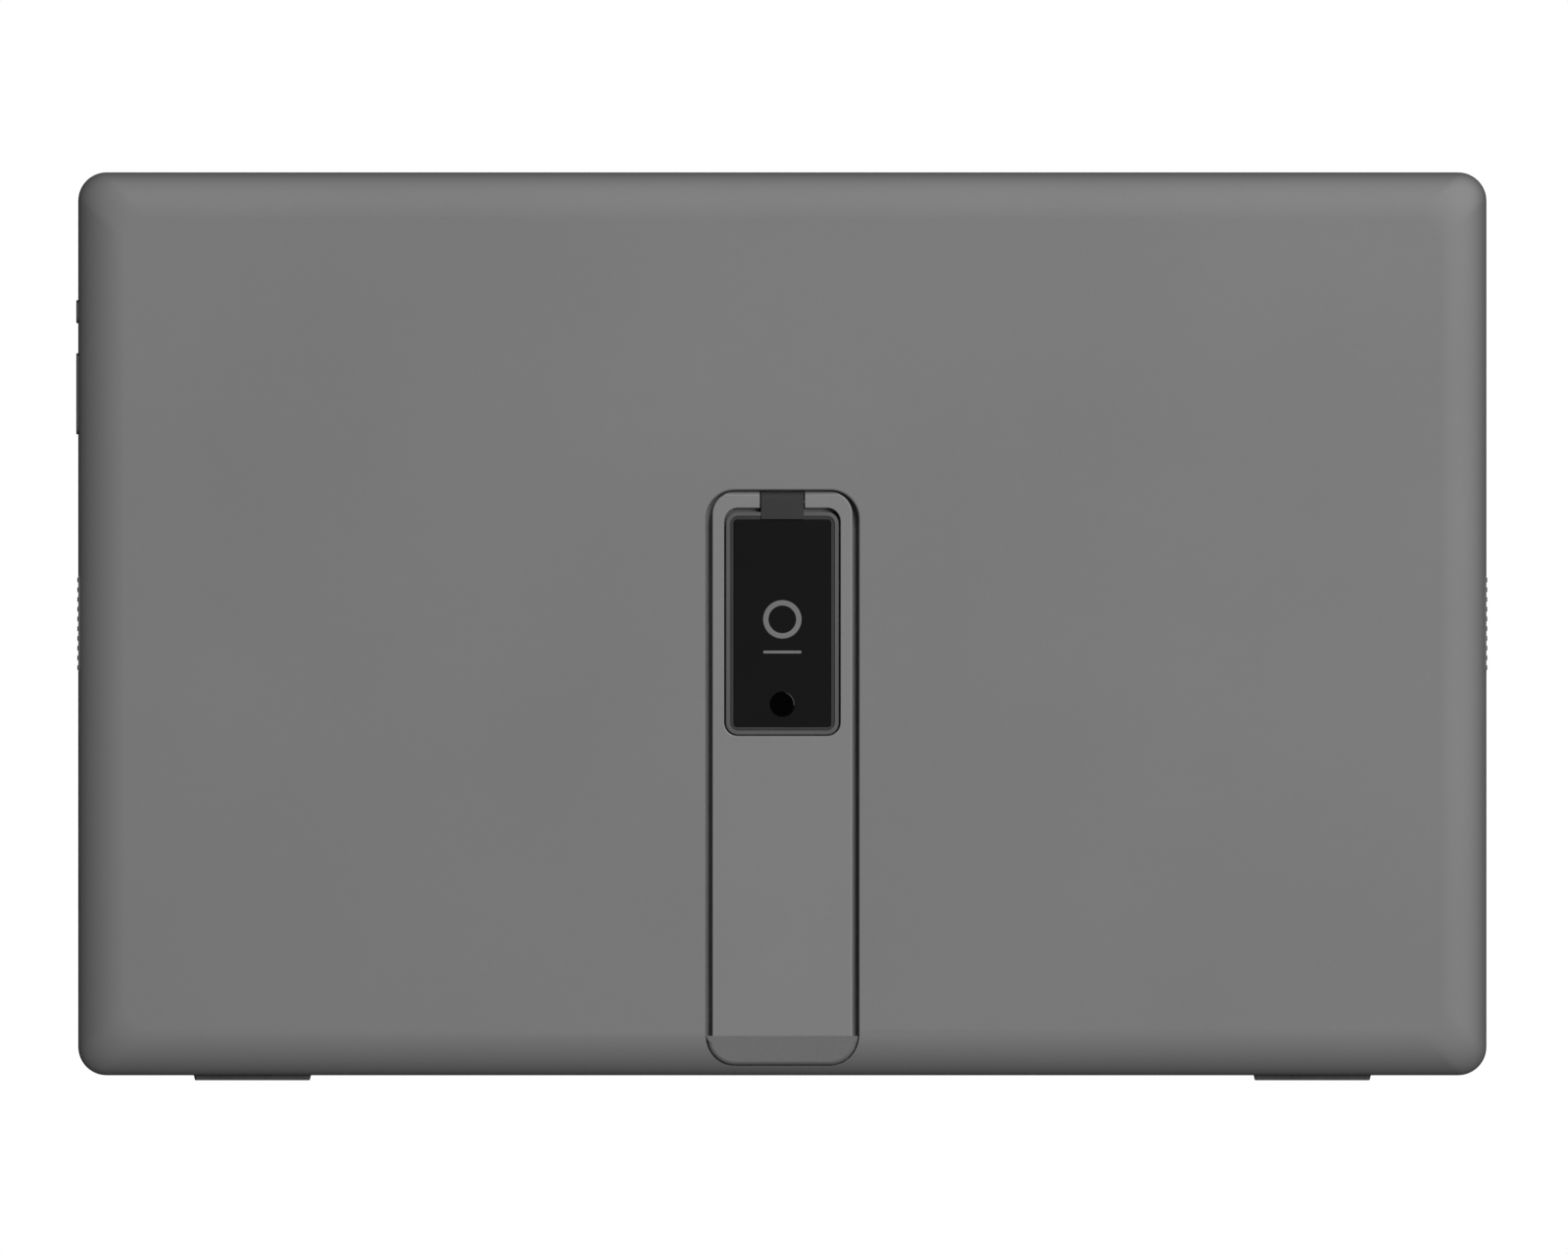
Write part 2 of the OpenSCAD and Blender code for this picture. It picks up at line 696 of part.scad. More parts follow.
module wifi_antennas() {
    z1 = z_top - wall_t;
    color("#303030") for (x = [-80, 80])
        block([x - 20, side_y, z1 - 0.2], [x + 20, side_y + 3, z1]);
}

module front_camera() {
    y0 = seam_y - fit_gap;
    color("#181818") union() {
        block([-selfie_w / 2, y0 - 1.4, selfie_z - selfie_h / 2], [selfie_w / 2, y0, selfie_z + selfie_h / 2]);
        bar_y(0, selfie_z, y0 - 0.1, cell_y1, selfie_r);
    }
}

// ---------- Keys ----------

module power_button() {
    color("#2a2a2a") union() {
        side_slot(-x_side - key_out, flange_x + flange_t / 2, side_y, power_z, key_w, power_l,
            key_w / 2 - 0.02);
        side_slot(flange_x, flange_x + flange_t, side_y, power_z, key_w + 2 * flange_w,
            power_l + 2 * flange_w, 0.8);
        bar_x(flange_x + flange_t / 2, nub_x, side_y, power_z, nub_r);
    }
}

module volume_rocker() {
    color("#2a2a2a") union() {
        side_slot(-x_side - key_out, flange_x + flange_t, side_y, rocker_z, key_w, rocker_l,
            key_w / 2 - 0.02);
        for (dz = [-1, 1] * rocker_nub_z)
            bar_x(flange_x + flange_t / 2, switch_x - rocker_nub_gap, side_y, rocker_z + dz, nub_r);
        block([flange_x, side_y - key_w / 2, rocker_z - 1], [trunnion_x, side_y + key_w / 2, rocker_z + 1]);
        bar_y(trunnion_x, rocker_z, side_y - trunnion_l / 2, side_y + trunnion_l / 2, trunnion_r);
    }
}

module rocker_bracket() {
    x1 = key_board_x;
    inner = key_w / 2 + ear_gap;
    color("silver") difference() {
        block([trunnion_x - ear_h / 2, side_y - inner - ear_t, rocker_z - ear_h / 2],
            [x1, side_y + inner + ear_t, rocker_z + ear_h / 2]);
        block([-x_side, side_y - inner, rocker_z - ear_h],
            [x1 - 0.6, side_y + inner, rocker_z + ear_h]);
        bar_y(trunnion_x, rocker_z, side_y - 2 * inner, side_y + 2 * inner, trunnion_r + run_gap);
    }
}

module key_board() {
    color("darkgreen") block([key_board_x, side_y - key_board_w / 2, key_board_z0],
        [key_board_x + key_board_t, side_y + key_board_w / 2, key_board_z1]);
}

module key_switches() {
    color("silver") for (z = [power_z, rocker_z - rocker_nub_z, rocker_z + rocker_nub_z]) {
        block([switch_x + 0.4, side_y - 1.6, z - 1.8], [key_board_x, side_y + 1.6, z + 1.8]);
        bar_x(switch_x, switch_x + 0.5, side_y, z, 0.9);
    }
}

module key_ribbon() {
    x0 = key_board_x + key_board_t;
    x1 = -box_x0 + box_front_d + box_back_d + 3;
    z = z_mid + box_l / 2 + 3;
    w = key_ribbon_w;
    color("darkorange") slab([[x0, key_board_z0 + 2], [x0 + w, key_board_z0 + 2], [x0 + w, z + w],
        [x1 + w, z + w], [x1 + w, board_z1 - 2], [x1, board_z1 - 2], [x1, z], [x0, z]],
        board_y1 + 0.02, board_y1 + 0.02 + ribbon_t);
}

// ---------- Speakers, drawn for the right side and turned over for the left ----------

module speaker_box() {
    x1 = box_x0 - box_front_d;
    x2 = x1 - box_back_d;
    color("#1c1c1c") difference() {
        union() {
            block([x1, side_y - 1.7, z_mid - box_l / 2 + 4], [box_x0, box_y1, z_mid + box_l / 2 - 4]);
            block([x2, inner_y + 0.3, z_mid - box_l / 2], [x1, box_y1, z_mid + box_l / 2]);
        }
        block([x1 - 2, side_y - 0.9, z_mid - grille_l / 2 + 1], [box_x0 + through, box_y1 - 0.6,
            z_mid + grille_l / 2 - 1]);
        slab(rounded(box_back_d - 6, box_l - 6, 5, (x1 + x2) / 2, z_mid), box_y1 - 3, box_y1 + through);
    }
}

module speaker_driver() {
    x = box_x0 - box_front_d - box_back_d / 2;
    color("#606060") difference() {
        slab(rounded(box_back_d - 6.4, box_l - 6.4, 4.8, x, z_mid), box_y1 - 3, box_y1);
        slab(rounded(box_back_d - 10, box_l - 10, 3.5, x, z_mid), box_y1 - 0.6, box_y1 + through);
    }
}

module speaker_grille() {
    color("#353535") difference() {
        union() {
            side_slot(x_side - grille_d, x_side, side_y, z_mid, grille_w, grille_l, grille_w / 2 - 0.02);
            for (i = [0:rib_count - 1])
                grille_rib(z_mid + (i - (rib_count - 1) / 2) * rib_pitch);
        }
        for (i = [0:rib_count - 2])
            grille_slot(z_mid + (i - (rib_count - 2) / 2) * rib_pitch);
    }
}

module grille_rib(z) {
    w = rib_pitch - slot_w;
    block([x_side - 0.5, side_y - slot_h / 2, z - w / 2], [x_side + rib_out, side_y + slot_h / 2, z + w / 2]);
}

module grille_slot(z) {
    block([x_side - grille_d - through, side_y - slot_h / 2, z - slot_w / 2],
        [x_side + through, side_y + slot_h / 2, z + slot_w / 2]);
}

module speaker_mesh() {
    color("#101010") side_slot(x_side - grille_d - 0.15, x_side - grille_d, side_y, z_mid,
        grille_w - 0.4, grille_l - 0.4, grille_w / 2 - 0.22);
}

module on_left() {
    mirror([1, 0, 0]) children();
}

// The right speaker's pair of wires crosses over the well to the main board
module speaker_wires() {
    x_box = box_x0 - box_front_d - 6;
    y = box_y1 - 2;
    z_run = lane_z + 20;
    x_down = -lane_x;
    color("firebrick") for (k = [0, 1]) {
        z = z_run + k * 1.4;
        xb = x_box + k * 1.4;
        xd = x_down - k * 1.4;
        wire_z(xb, y, z_mid + box_l / 2, z - bend_r);
        wire_corner(xb - bend_r, z - bend_r, y, 0);
        wire_x(xd + bend_r, xb - bend_r, y, z);
        wire_corner(xd + bend_r, z - bend_r, y, 90);
        wire_z(xd, y, board_z1, z - bend_r);
    }
}

// ---------- Stand ----------

module bracket_holes(r, y0, y1) {
    for (x = [-1, 1] * bracket_screw_dx, dz = [-1, 1] * bracket_screw_dz)
        bar_y(x, plate_mid_z + dz, y0, y1, r);
}

// Where the camera's ribbon goes through the well's floor
module camera_slot(y0, y1) {
    slab(rounded(2.4, 8, 1.1, -7, camera_z), y0, y1);
}

module hinge_bracket() {
    color("#3c3c3c") union() {
        bracket_tray();
        knuckle();
    }
}

// The tray that the badge plate lies in, with a rim of two steps
module bracket_tray() {
    mid = (ring_z0 + ring_z1) / 2;
    h = ring_z1 - ring_z0;
    difference() {
        slab(rounded(ring_outer_w, h, ring_corner_r, 0, mid), ring_y, floor_y);
        slab(rounded(ring_outer_w - 2 * ridge_w, h - 2 * ridge_w, ring_corner_r - ridge_w, 0, mid),
            y_back - through, ring_y + ring_step);
        slab(rounded(plate_w + fit_gap, plate_h + fit_gap, plate_r, 0, plate_mid_z),
            y_back - through, plate_y0 + plate_t);
        slab(rounded(plate_w - 2 * seat_w, plate_h - 2 * seat_w, plate_r, 0, plate_mid_z),
            y_back - through, floor_y - bracket_t);
        bracket_holes(bracket_screw_r + 0.1, floor_y - 2 * bracket_t, floor_y + through);
        camera_slot(floor_y - 2 * bracket_t, floor_y + through);
    }
}

// The fixed knuckle, with its tab that reaches down to the badge plate
module knuckle() {
    w = knuckle_w / 2;
    difference() {
        union() {
            block([-w, leg_y0, plate_z1 + fit_gap / 2], [w, floor_y, leg_z1 - knuckle_r]);
            block([-w, leg_y0 + knuckle_r, leg_z1 - 2 * knuckle_r], [w, floor_y, leg_z1]);
            bar_x(-w, w, leg_y0 + knuckle_r, leg_z1 - knuckle_r, knuckle_r);
        }
        bar_x(-knuckle_w, knuckle_w, axis_y, axis_z, pin_r + run_gap + clip_t + clip_gap);
    }
}

module bracket_screws() {
    color("silver") for (x = [-1, 1] * bracket_screw_dx, dz = [-1, 1] * bracket_screw_dz) {
        bar_y(x, plate_mid_z + dz, floor_y - bracket_t - 0.6, floor_y - bracket_t, 1.9);
        bar_y(x, plate_mid_z + dz, floor_y - bracket_t - 0.05, floor_y + floor_t, bracket_screw_r - 0.02);
    }
}

module badge_plate() {
    color("#1c1c1c") difference() {
        slab(rounded(plate_w, plate_h, plate_r, 0, plate_mid_z), plate_y0, plate_y0 + plate_t);
        bar_y(0, camera_z, plate_y0 - through, plate_y0 + plate_t + through, camera_r + 0.05);
    }
}

module camera_window() {
    color("black") bar_y(0, camera_z, plate_y0, plate_y0 + plate_t, camera_r);
}

module camera_module() {
    y0 = plate_y0 + plate_t + 0.1;
    y1 = floor_y - bracket_t;
    color("#181818") union() {
        bar_y(0, camera_z, y0, y0 + 1.2, 2.9);
        block([-4.2, y0 + 1, camera_z - 4.2], [4.2, y1, camera_z + 4.2]);
    }
}

module camera_ribbon() {
    y0 = floor_y + floor_t + 0.02;
    yb = board_y1 + 0.35;
    x0 = -well_w / 2 - well_wall - 1;
    x1 = board_x1 - 11;
    color("darkorange") translate([0, 0, camera_z - 3]) linear_extrude(6) polygon([
        [-6, y0], [-6, y0 + ribbon_t], [x0, y0 + ribbon_t], [x0 - 1, yb + ribbon_t],
        [x1, yb + ribbon_t], [x1, yb], [x0 - 1.1, yb], [x0 - 0.1, y0]]);
}

module friction_clips() {
    color("silver") for (x = [-1, 1] * (clip_l / 2 + 0.2))
        difference() {
            bar_x(x - clip_l / 2, x + clip_l / 2, axis_y, axis_z, pin_r + run_gap + clip_t);
            bar_x(x - clip_l, x + clip_l, axis_y, axis_z, pin_r + run_gap);
            block([x - clip_l, axis_y, axis_z - clip_slit / 2],
                [x + clip_l, axis_y + 2 * hinge_in, axis_z + clip_slit / 2]);
        }
}

module stand_leg() {
    h = leg_z1 - leg_z0 + leg_corner_r;
    mid = leg_z1 - h / 2;
    color("dimgray") difference() {
        union() {
            stacked(leg_w, h, leg_corner_r, mid, [[leg_bevel, leg_y0], [0, leg_y0 + leg_bevel], [0, leg_y1]]);
            block([-tongue_w / 2, leg_y0 + tongue_in, leg_z0 - tongue_l],
                [tongue_w / 2, leg_y1 - tongue_back, leg_z0 + fit_gap]);
        }
        difference() {
            block([-leg_w, leg_y0 - through, leg_z0 - 2 * leg_corner_r], [leg_w, leg_y1 + through, leg_z0]);
            block([-tongue_w / 2, leg_y0 + tongue_in, leg_z0 - tongue_l],
                [tongue_w / 2, leg_y1 - tongue_back, leg_z0 + fit_gap]);
        }
        slab(rounded(window_w, window_h, window_r, 0, (window_z0 + window_z1) / 2),
            y_back - through, floor_y + through);
        block([-notch_w / 2, y_back - through, window_z1 - through],
            [notch_w / 2, floor_y + through, leg_z1 + through]);
        bar_x(-leg_w, leg_w, axis_y, axis_z, pin_r);
        for (z = [leg_z0 + 24, leg_z0 + 58])
            slab(rounded(leg_w - 8, 26, 3, 0, z), leg_y1 - 1, leg_y1 + through);
    }
}

module stand_boot() {
    h = boot_h + boot_corner_r;
    y1 = leg_y1 + boot_pad;
    fit = fit_gap / 2;
    color("#4a4a4a") difference() {
        slab(rounded(boot_w, h, boot_corner_r, 0, boot_z + h / 2), leg_y0, y1);
        block([-boot_w, leg_y0 - through, leg_z0], [boot_w, y1 + through, leg_z0 + h]);
        translate([-boot_w, 0, 0]) rotate([90, 0, 90]) linear_extrude(2 * boot_w) polygon([
            [leg_y0 - through, leg_z0], [leg_y0, leg_z0], [leg_y0 + boot_slope, boot_z],
            [leg_y0 + boot_slope, boot_z - through], [leg_y0 - through, boot_z - through]]);
        block([-tongue_w / 2 - fit, leg_y0 + tongue_in - fit, leg_z0 - tongue_l - fit],
            [tongue_w / 2 + fit, leg_y1 - tongue_back + fit, leg_z0 + through]);
    }
}

module hinge_pin() {
    color("silver") bar_x(-pin_l / 2, pin_l / 2, axis_y, axis_z, pin_r);
}

rear_shell();
front_frame();
cover_glass();
glass_tape();
lcd_cell();
optical_films();
light_guide();
led_bar();
backlight_tray();
mid_frame();
frame_screws();
battery(-1);  // battery_left
battery(1);  // battery_right
battery_boards();
battery_ribbon();
main_board();
board_chips();
shield_can();
heat_spreader();
board_screws();
usb_shell(usb_z[0]);  // usb_c_shell_upper
usb_shell(usb_z[1]);  // usb_c_shell_lower
usb_tongue(usb_z[0]);  // usb_c_tongue_upper
usb_tongue(usb_z[1]);  // usb_c_tongue_lower
mini_hdmi_shell();
mini_hdmi_tongue();
key_board();
key_switches();
rocker_bracket();
key_ribbon();
on_left() speaker_box();  // speaker_box_left
speaker_box();  // speaker_box_right
on_left() speaker_driver();  // speaker_driver_left
speaker_driver();  // speaker_driver_right
on_left() speaker_grille();  // speaker_grille_left
speaker_grille();  // speaker_grille_right
on_left() speaker_mesh();  // speaker_mesh_left
speaker_mesh();  // speaker_mesh_right
speaker_wires();
display_ribbon();
camera_ribbon();
wifi_antennas();
front_camera();
hinge_bracket();
bracket_screws();
badge_plate();
camera_window();
camera_module();
friction_clips();
foot(-1);  // foot_left
foot(1);  // foot_right
stand_leg();
stand_boot();
hinge_pin();
power_button();
volume_rocker();
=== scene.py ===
"""The looks of a large slate tablet with a fold-out stand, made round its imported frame.

Lengths are in metres and lie in the frame's own axes: X to the right and Z up as seen from
behind the tablet, and Y towards its screen.
"""

import logging
import math
from contextlib import contextmanager
from dataclasses import dataclass
from enum import Enum
from typing import Callable, Dict, Iterator, List, Sequence, Tuple

import bmesh
import bpy
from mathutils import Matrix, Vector


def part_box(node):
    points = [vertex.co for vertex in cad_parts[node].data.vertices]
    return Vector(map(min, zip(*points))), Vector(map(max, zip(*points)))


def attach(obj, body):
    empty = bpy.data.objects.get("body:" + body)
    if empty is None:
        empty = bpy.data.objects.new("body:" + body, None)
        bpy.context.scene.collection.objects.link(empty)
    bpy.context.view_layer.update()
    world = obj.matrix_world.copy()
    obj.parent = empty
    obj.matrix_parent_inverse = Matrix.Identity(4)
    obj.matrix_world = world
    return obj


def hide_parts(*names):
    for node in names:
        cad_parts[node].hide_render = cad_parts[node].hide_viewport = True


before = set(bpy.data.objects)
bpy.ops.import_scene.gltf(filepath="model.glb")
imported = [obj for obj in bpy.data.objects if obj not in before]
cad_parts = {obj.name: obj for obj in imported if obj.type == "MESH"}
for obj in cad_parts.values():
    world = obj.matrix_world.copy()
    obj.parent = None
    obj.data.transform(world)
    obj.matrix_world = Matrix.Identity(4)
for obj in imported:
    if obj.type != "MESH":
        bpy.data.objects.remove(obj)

MM = 0.001
# How near two places have to be to count as one, and how far a tool runs past what it cuts.
CLOSE = 0.00001
THROUGH = 1 * MM
LOG = logging.getLogger("tablet")

Point = Tuple[float, float, float]
Tone = Tuple[float, float, float, float]
Box = Tuple[Vector, Vector]
FaceTest = Callable[[Vector, Vector], bool]
EdgeTest = Callable[[Vector, Vector], bool]


# ---------------------------------------------------------------- names


class Body(Enum):
    """The bodies that pieces ride on."""

    SLATE = "slate"
    STAND = "stand"
    POWER = "power_key"
    VOLUME = "volume_key"


class Axis(Enum):
    """The three axes, by their place in a point."""

    X = 0
    Y = 1
    Z = 2

    @property
    def turn(self) -> Point:
        """The turn that lays a standing cylinder along the axis."""
        quarter = math.pi / 2
        return {Axis.X: (0, quarter, 0), Axis.Y: (quarter, 0, 0), Axis.Z: (0, 0, 0)}[self]


class Way(Enum):
    """The directions that an end of a piece can look in."""

    LEFT = (-1, 0, 0)
    RIGHT = (1, 0, 0)
    BACK = (0, -1, 0)
    FRONT = (0, 1, 0)
    DOWN = (0, 0, -1)

    @property
    def vector(self) -> Vector:
        """The direction as a unit vector."""
        return Vector(self.value)


class Pick(Enum):
    """What is selected while a piece is open for shaping."""

    FACE = "FACE"
    EDGE = "EDGE"


class Join(Enum):
    """How two solids are combined."""

    ADD = "UNION"
    CUT = "DIFFERENCE"


# ---------------------------------------------------------------- bench


def clear_selection() -> None:
    """Leaves nothing selected."""
    bpy.ops.object.select_all(action="DESELECT")


def span(points: Sequence[Vector]) -> Box:
    """Finds the box round some points.

    Args:
        points: The points.

    Returns:
        The lowest and the highest corner.
    """
    low = Vector([min(p[i] for p in points) for i in range(3)])
    high = Vector([max(p[i] for p in points) for i in range(3)])
    return low, high


def along(axis: Axis) -> EdgeTest:
    """Makes a test for edges that run along an axis.

    Args:
        axis: The axis.

    Returns:
        The test.
    """
    others = [i for i in range(3) if i != axis.value]
    return lambda a, b: all(abs(a[i] - b[i]) < CLOSE for i in others)


def along_at(axis: Axis, place: Callable[[Vector], bool]) -> EdgeTest:
    """Makes a test for edges that run along an axis and have a middle in some place.

    Args:
        axis: The axis.
        place: The test of an edge's middle.

    Returns:
        The test.
    """
    runs = along(axis)
    return lambda a, b: runs(a, b) and place((a + b) / 2)


class Workpiece:
    """A mesh on the bench, shaped with the modelling tools until it is a finished piece."""

    def __init__(self, thing: bpy.types.Object) -> None:
        """Takes an object onto the bench.

        Args:
            thing: The mesh object.
        """
        self.thing = thing

    @classmethod
    def _added(cls, name: str) -> "Workpiece":
        """Takes the primitive that was just added, with its place put into its mesh.

        Args:
            name: The piece's name.

        Returns:
            The workpiece.
        """
        thing = bpy.context.active_object
        thing.name = name
        thing.data.name = name
        bpy.ops.object.transform_apply(location=True, rotation=True, scale=True)
        return cls(thing)

    @classmethod
    def block(cls, name: str, low: Sequence[float], high: Sequence[float]) -> "Workpiece":
        """Starts from a box between two corners.

        Args:
            name: The piece's name.
            low: The lowest corner.
            high: The highest corner.

        Returns:
            The workpiece.
        """
        clear_selection()
        bpy.ops.mesh.primitive_cube_add(
            size=1.0,
            location=[(a + b) / 2 for a, b in zip(low, high)],
            scale=[b - a for a, b in zip(low, high)],
        )
        return cls._added(name)

    @classmethod
    def rod(cls, name: str, low: Sequence[float], axis: Axis, radius: float, length: float,
            sides: int = 32) -> "Workpiece":
        """Starts from a round bar.

        Args:
            name: The piece's name.
            low: The middle of the bar's lower end.
            axis: The axis that it runs along.
            radius: Its radius.
            length: Its length.
            sides: How many sides make it round.

        Returns:
            The workpiece.
        """
        clear_selection()
        centre = Vector(low)
        centre[axis.value] += length / 2
        bpy.ops.mesh.primitive_cylinder_add(
            vertices=sides, radius=radius, depth=length, location=centre, rotation=axis.turn)
        return cls._added(name)

    @classmethod
    def plate(cls, name: str, low: Sequence[float], high: Sequence[float], axis: Axis,
              radius: float, segments: int = 8) -> "Workpiece":
        """Starts from a box whose four edges along one axis are rounded.

        Args:
            name: The piece's name.
            low: The lowest corner.
            high: The highest corner.
            axis: The axis that the rounded edges run along.
            radius: Their radius.
            segments: How many faces make each corner.

        Returns:
            The workpiece.
        """
        return cls.block(name, low, high).round_edges(along(axis), radius, segments)

    def select(self) -> None:
        """Makes the piece the only selected object."""
        clear_selection()
        self.thing.select_set(True)
        bpy.context.view_layer.objects.active = self.thing

    @contextmanager
    def opened(self, pick: Pick) -> Iterator[bmesh.types.BMesh]:
        """Opens the piece for shaping, with nothing selected, and closes it afterwards.

        Args:
            pick: What is going to be selected.

        Yields:
            The mesh that is open.
        """
        self.select()
        bpy.ops.object.mode_set(mode="EDIT")
        bpy.ops.mesh.select_mode(type=pick.value)
        bpy.ops.mesh.select_all(action="DESELECT")
        yield bmesh.from_edit_mesh(self.thing.data)
        bpy.ops.object.mode_set(mode="OBJECT")

    @contextmanager
    def faces(self, test: FaceTest) -> Iterator[Box]:
        """Opens the piece with the faces selected whose centre and normal pass a test.

        Args:
            test: The test.

        Yields:
            The box round the selected faces.
        """
        with self.opened(Pick.FACE) as mesh:
            corners: List[Vector] = []
            for face in mesh.faces:
                if test(face.calc_center_median(), face.normal):
                    face.select_set(True)
                    corners += [corner.co.copy() for corner in face.verts]
            bmesh.update_edit_mesh(self.thing.data)
            yield span(corners)

    @contextmanager
    def end(self, way: Way) -> Iterator[Box]:
        """Opens the piece with the flat end selected that lies furthest one way.

        Args:
            way: The direction that the end looks in.

        Yields:
            The box round the end.
        """
        tip = max(Vector(corner).dot(way.vector) for corner in self.thing.bound_box)
        with self.faces(lambda centre, normal: normal.dot(way.vector) > 0.999
                        and centre.dot(way.vector) > tip - CLOSE) as box:
            yield box

    def round_edges(self, test: EdgeTest, radius: float, segments: int = 4,
                    profile: float = 0.5) -> "Workpiece":
        """Bevels the edges whose two ends pass a test.

        Args:
            test: The test.
            radius: The width of the bevel.
            segments: How many faces make it round.
            profile: Its shape, where a half is round.

        Returns:
            The workpiece.
        """
        with self.opened(Pick.EDGE) as mesh:
            for edge in mesh.edges:
                if test(edge.verts[0].co, edge.verts[1].co):
                    edge.select_set(True)
            bmesh.update_edit_mesh(self.thing.data)
            bpy.ops.mesh.bevel(
                offset=radius, segments=segments, profile=profile, affect="EDGES")
        return self

    def grow(self, way: Way, rise: float, margin: float, steps: int = 1) -> "Workpiece":
        """Extrudes an end while its outline follows a quarter of an ellipse.

        Args:
            way: The direction that the end looks in.
            rise: How far the end moves.
            margin: How far its outline moves outwards, or inwards if it is negative.
            steps: How many rings the quarter is made of.

        Returns:
            The workpiece.
        """
        spread, height = 0.0, 0.0
        for step in range(1, steps + 1):
            turn = math.pi / 2 * step / steps
            next_spread, next_height = margin * (1 - math.cos(turn)), rise * math.sin(turn)
            with self.end(way) as (low, high):
                half = (high - low) / 2
                push = way.vector * (next_height - height)
                bpy.ops.mesh.extrude_region_move(TRANSFORM_OT_translate={"value": push})
                share = [(h + next_spread - spread) / h if h > CLOSE else 1.0 for h in half]
                bpy.ops.transform.resize(
                    value=share, center_override=(low + high) / 2 + push)
            spread, height = next_spread, next_height
        return self

    def terrace(self, way: Way, treads: Sequence[Tuple[float, float]]) -> "Workpiece":
        """Sinks an end in steps, each one inset from the last.

        Args:
            way: The direction that the end looks in.
            treads: The inset and the depth of each step.

        Returns:
            The workpiece.
        """
        with self.end(way):
            for inset, depth in treads:
                bpy.ops.mesh.inset(thickness=inset)
                if depth > 0:
                    bpy.ops.mesh.extrude_region_move(
                        TRANSFORM_OT_translate={"value": way.vector * -depth})
        return self

    def frame_end(self, way: Way, width: float) -> "Workpiece":
        """Insets a flat end, so that a band of it keeps the end's own normal.

        Args:
            way: The direction that the end looks in.
            width: The width of the band.

        Returns:
            The workpiece.
        """
        with self.end(way):
            bpy.ops.mesh.inset(thickness=width)
        return self

    def tongue(self, way: Way, low: Sequence[float], high: Sequence[float],
               length: float) -> "Workpiece":
        """Pulls a tongue of a given section out of a flat end.

        Args:
            way: The direction that the end looks in.
            low: The lowest corner of the section.
            high: The highest corner of the section.
            length: The tongue's length.

        Returns:
            The workpiece.
        """
        with self.end(way) as (first, last):
            want = (Vector(high) - Vector(low)) / 2
            have = (last - first) / 2
            here = (first + last) / 2
            bpy.ops.mesh.extrude_region_move(TRANSFORM_OT_translate={"value": (0, 0, 0)})
            share = [w / h if h > CLOSE else 1.0 for w, h in zip(want, have)]
            bpy.ops.transform.resize(value=share, center_override=here)
            slide = (Vector(low) + Vector(high)) / 2 - here
            bpy.ops.transform.translate(value=slide - way.vector * slide.dot(way.vector))
            bpy.ops.mesh.extrude_region_move(
                TRANSFORM_OT_translate={"value": way.vector * length})
        return self

    def trim(self, point: Sequence[float], normal: Sequence[float]) -> "Workpiece":
        """Cuts away what lies beyond a plane and closes the cut.

        Args:
            point: A point on the plane.
            normal: The direction in which the piece is cut away.

        Returns:
            The workpiece.
        """
        with self.opened(Pick.FACE):
            bpy.ops.mesh.select_all(action="SELECT")
            bpy.ops.mesh.bisect(
                plane_co=point, plane_no=normal, use_fill=True, clear_outer=True,
                threshold=CLOSE / 10)
        return self

    def _finish_with(self, kind: str, **settings: object) -> None:
        """Puts a modifier on the piece and applies it.

        Args:
            kind: The modifier's type.
            settings: Its settings.
        """
        self.select()
        bpy.ops.object.modifier_add(type=kind)
        modifier = self.thing.modifiers[-1]
        for key, value in settings.items():
            setattr(modifier, key, value)
        bpy.ops.object.modifier_apply(modifier=modifier.name)

    def combine(self, how: Join, *tools: "Workpiece") -> "Workpiece":
        """Adds other solids to the piece, or cuts them out of it, one after the other.

        Args:
            how: Whether they are added or cut.
            tools: The other solids, which are used up.

        Returns:
            The workpiece.
        """
        for tool in tools:
            self._finish_with("BOOLEAN", operation=how.value, solver="EXACT",
                              object=tool.thing)
            tool.select()
            bpy.ops.object.delete()
        return self

    def soften(self, width: float, segments: int = 2, angle: float = 40.0) -> "Workpiece":
        """Rounds every edge that is sharper than an angle.

        Args:
            width: The width of the rounding.
            segments: How many faces make it.
            angle: The angle in degrees.

        Returns:
            The workpiece.
        """
        self._finish_with("BEVEL", width=width, segments=segments, limit_method="ANGLE",
                          angle_limit=math.radians(angle), use_clamp_overlap=True,
                          harden_normals=False)
        return self

    def copied(self, move: Sequence[float] = (0, 0, 0)) -> "Workpiece":
        """Copies the piece, with a mesh of its own, to another place.

        Args:
            move: How far the copy is from the piece.

        Returns:
            The copy.
        """
        self.select()
        bpy.ops.object.duplicate(linked=False)
        bpy.ops.transform.translate(value=move)
        bpy.ops.object.transform_apply(location=True, rotation=True, scale=True)
        return Workpiece(bpy.context.active_object)

    def repeated(self, moves: Sequence[Sequence[float]]) -> "Workpiece":
        """Adds a copy of the piece to itself at each move.

        Args:
            moves: How far each copy is from the piece.

        Returns:
            The workpiece.
        """
        return self.gather(*[self.copied(move) for move in moves])

    def mirrored(self, name: str) -> "Workpiece":
        """Copies the piece to the other side of the tablet, turned over.

        Args:
            name: The copy's name.

        Returns:
            The copy.
        """
        twin = self.copied()
        twin.thing.name = name
        twin.thing.data.name = name
        bpy.ops.transform.resize(value=(-1, 1, 1), center_override=(0, 0, 0))
        bpy.ops.object.transform_apply(location=True, rotation=True, scale=True)
        return twin.face_outwards()

    def gather(self, *others: "Workpiece") -> "Workpiece":
        """Takes other pieces into this one as loose parts.

        Args:
            others: The other pieces.

        Returns:
            The workpiece.
        """
        self.select()
        for other in others:
            other.thing.select_set(True)
        if others:
            bpy.ops.object.join()
        return self

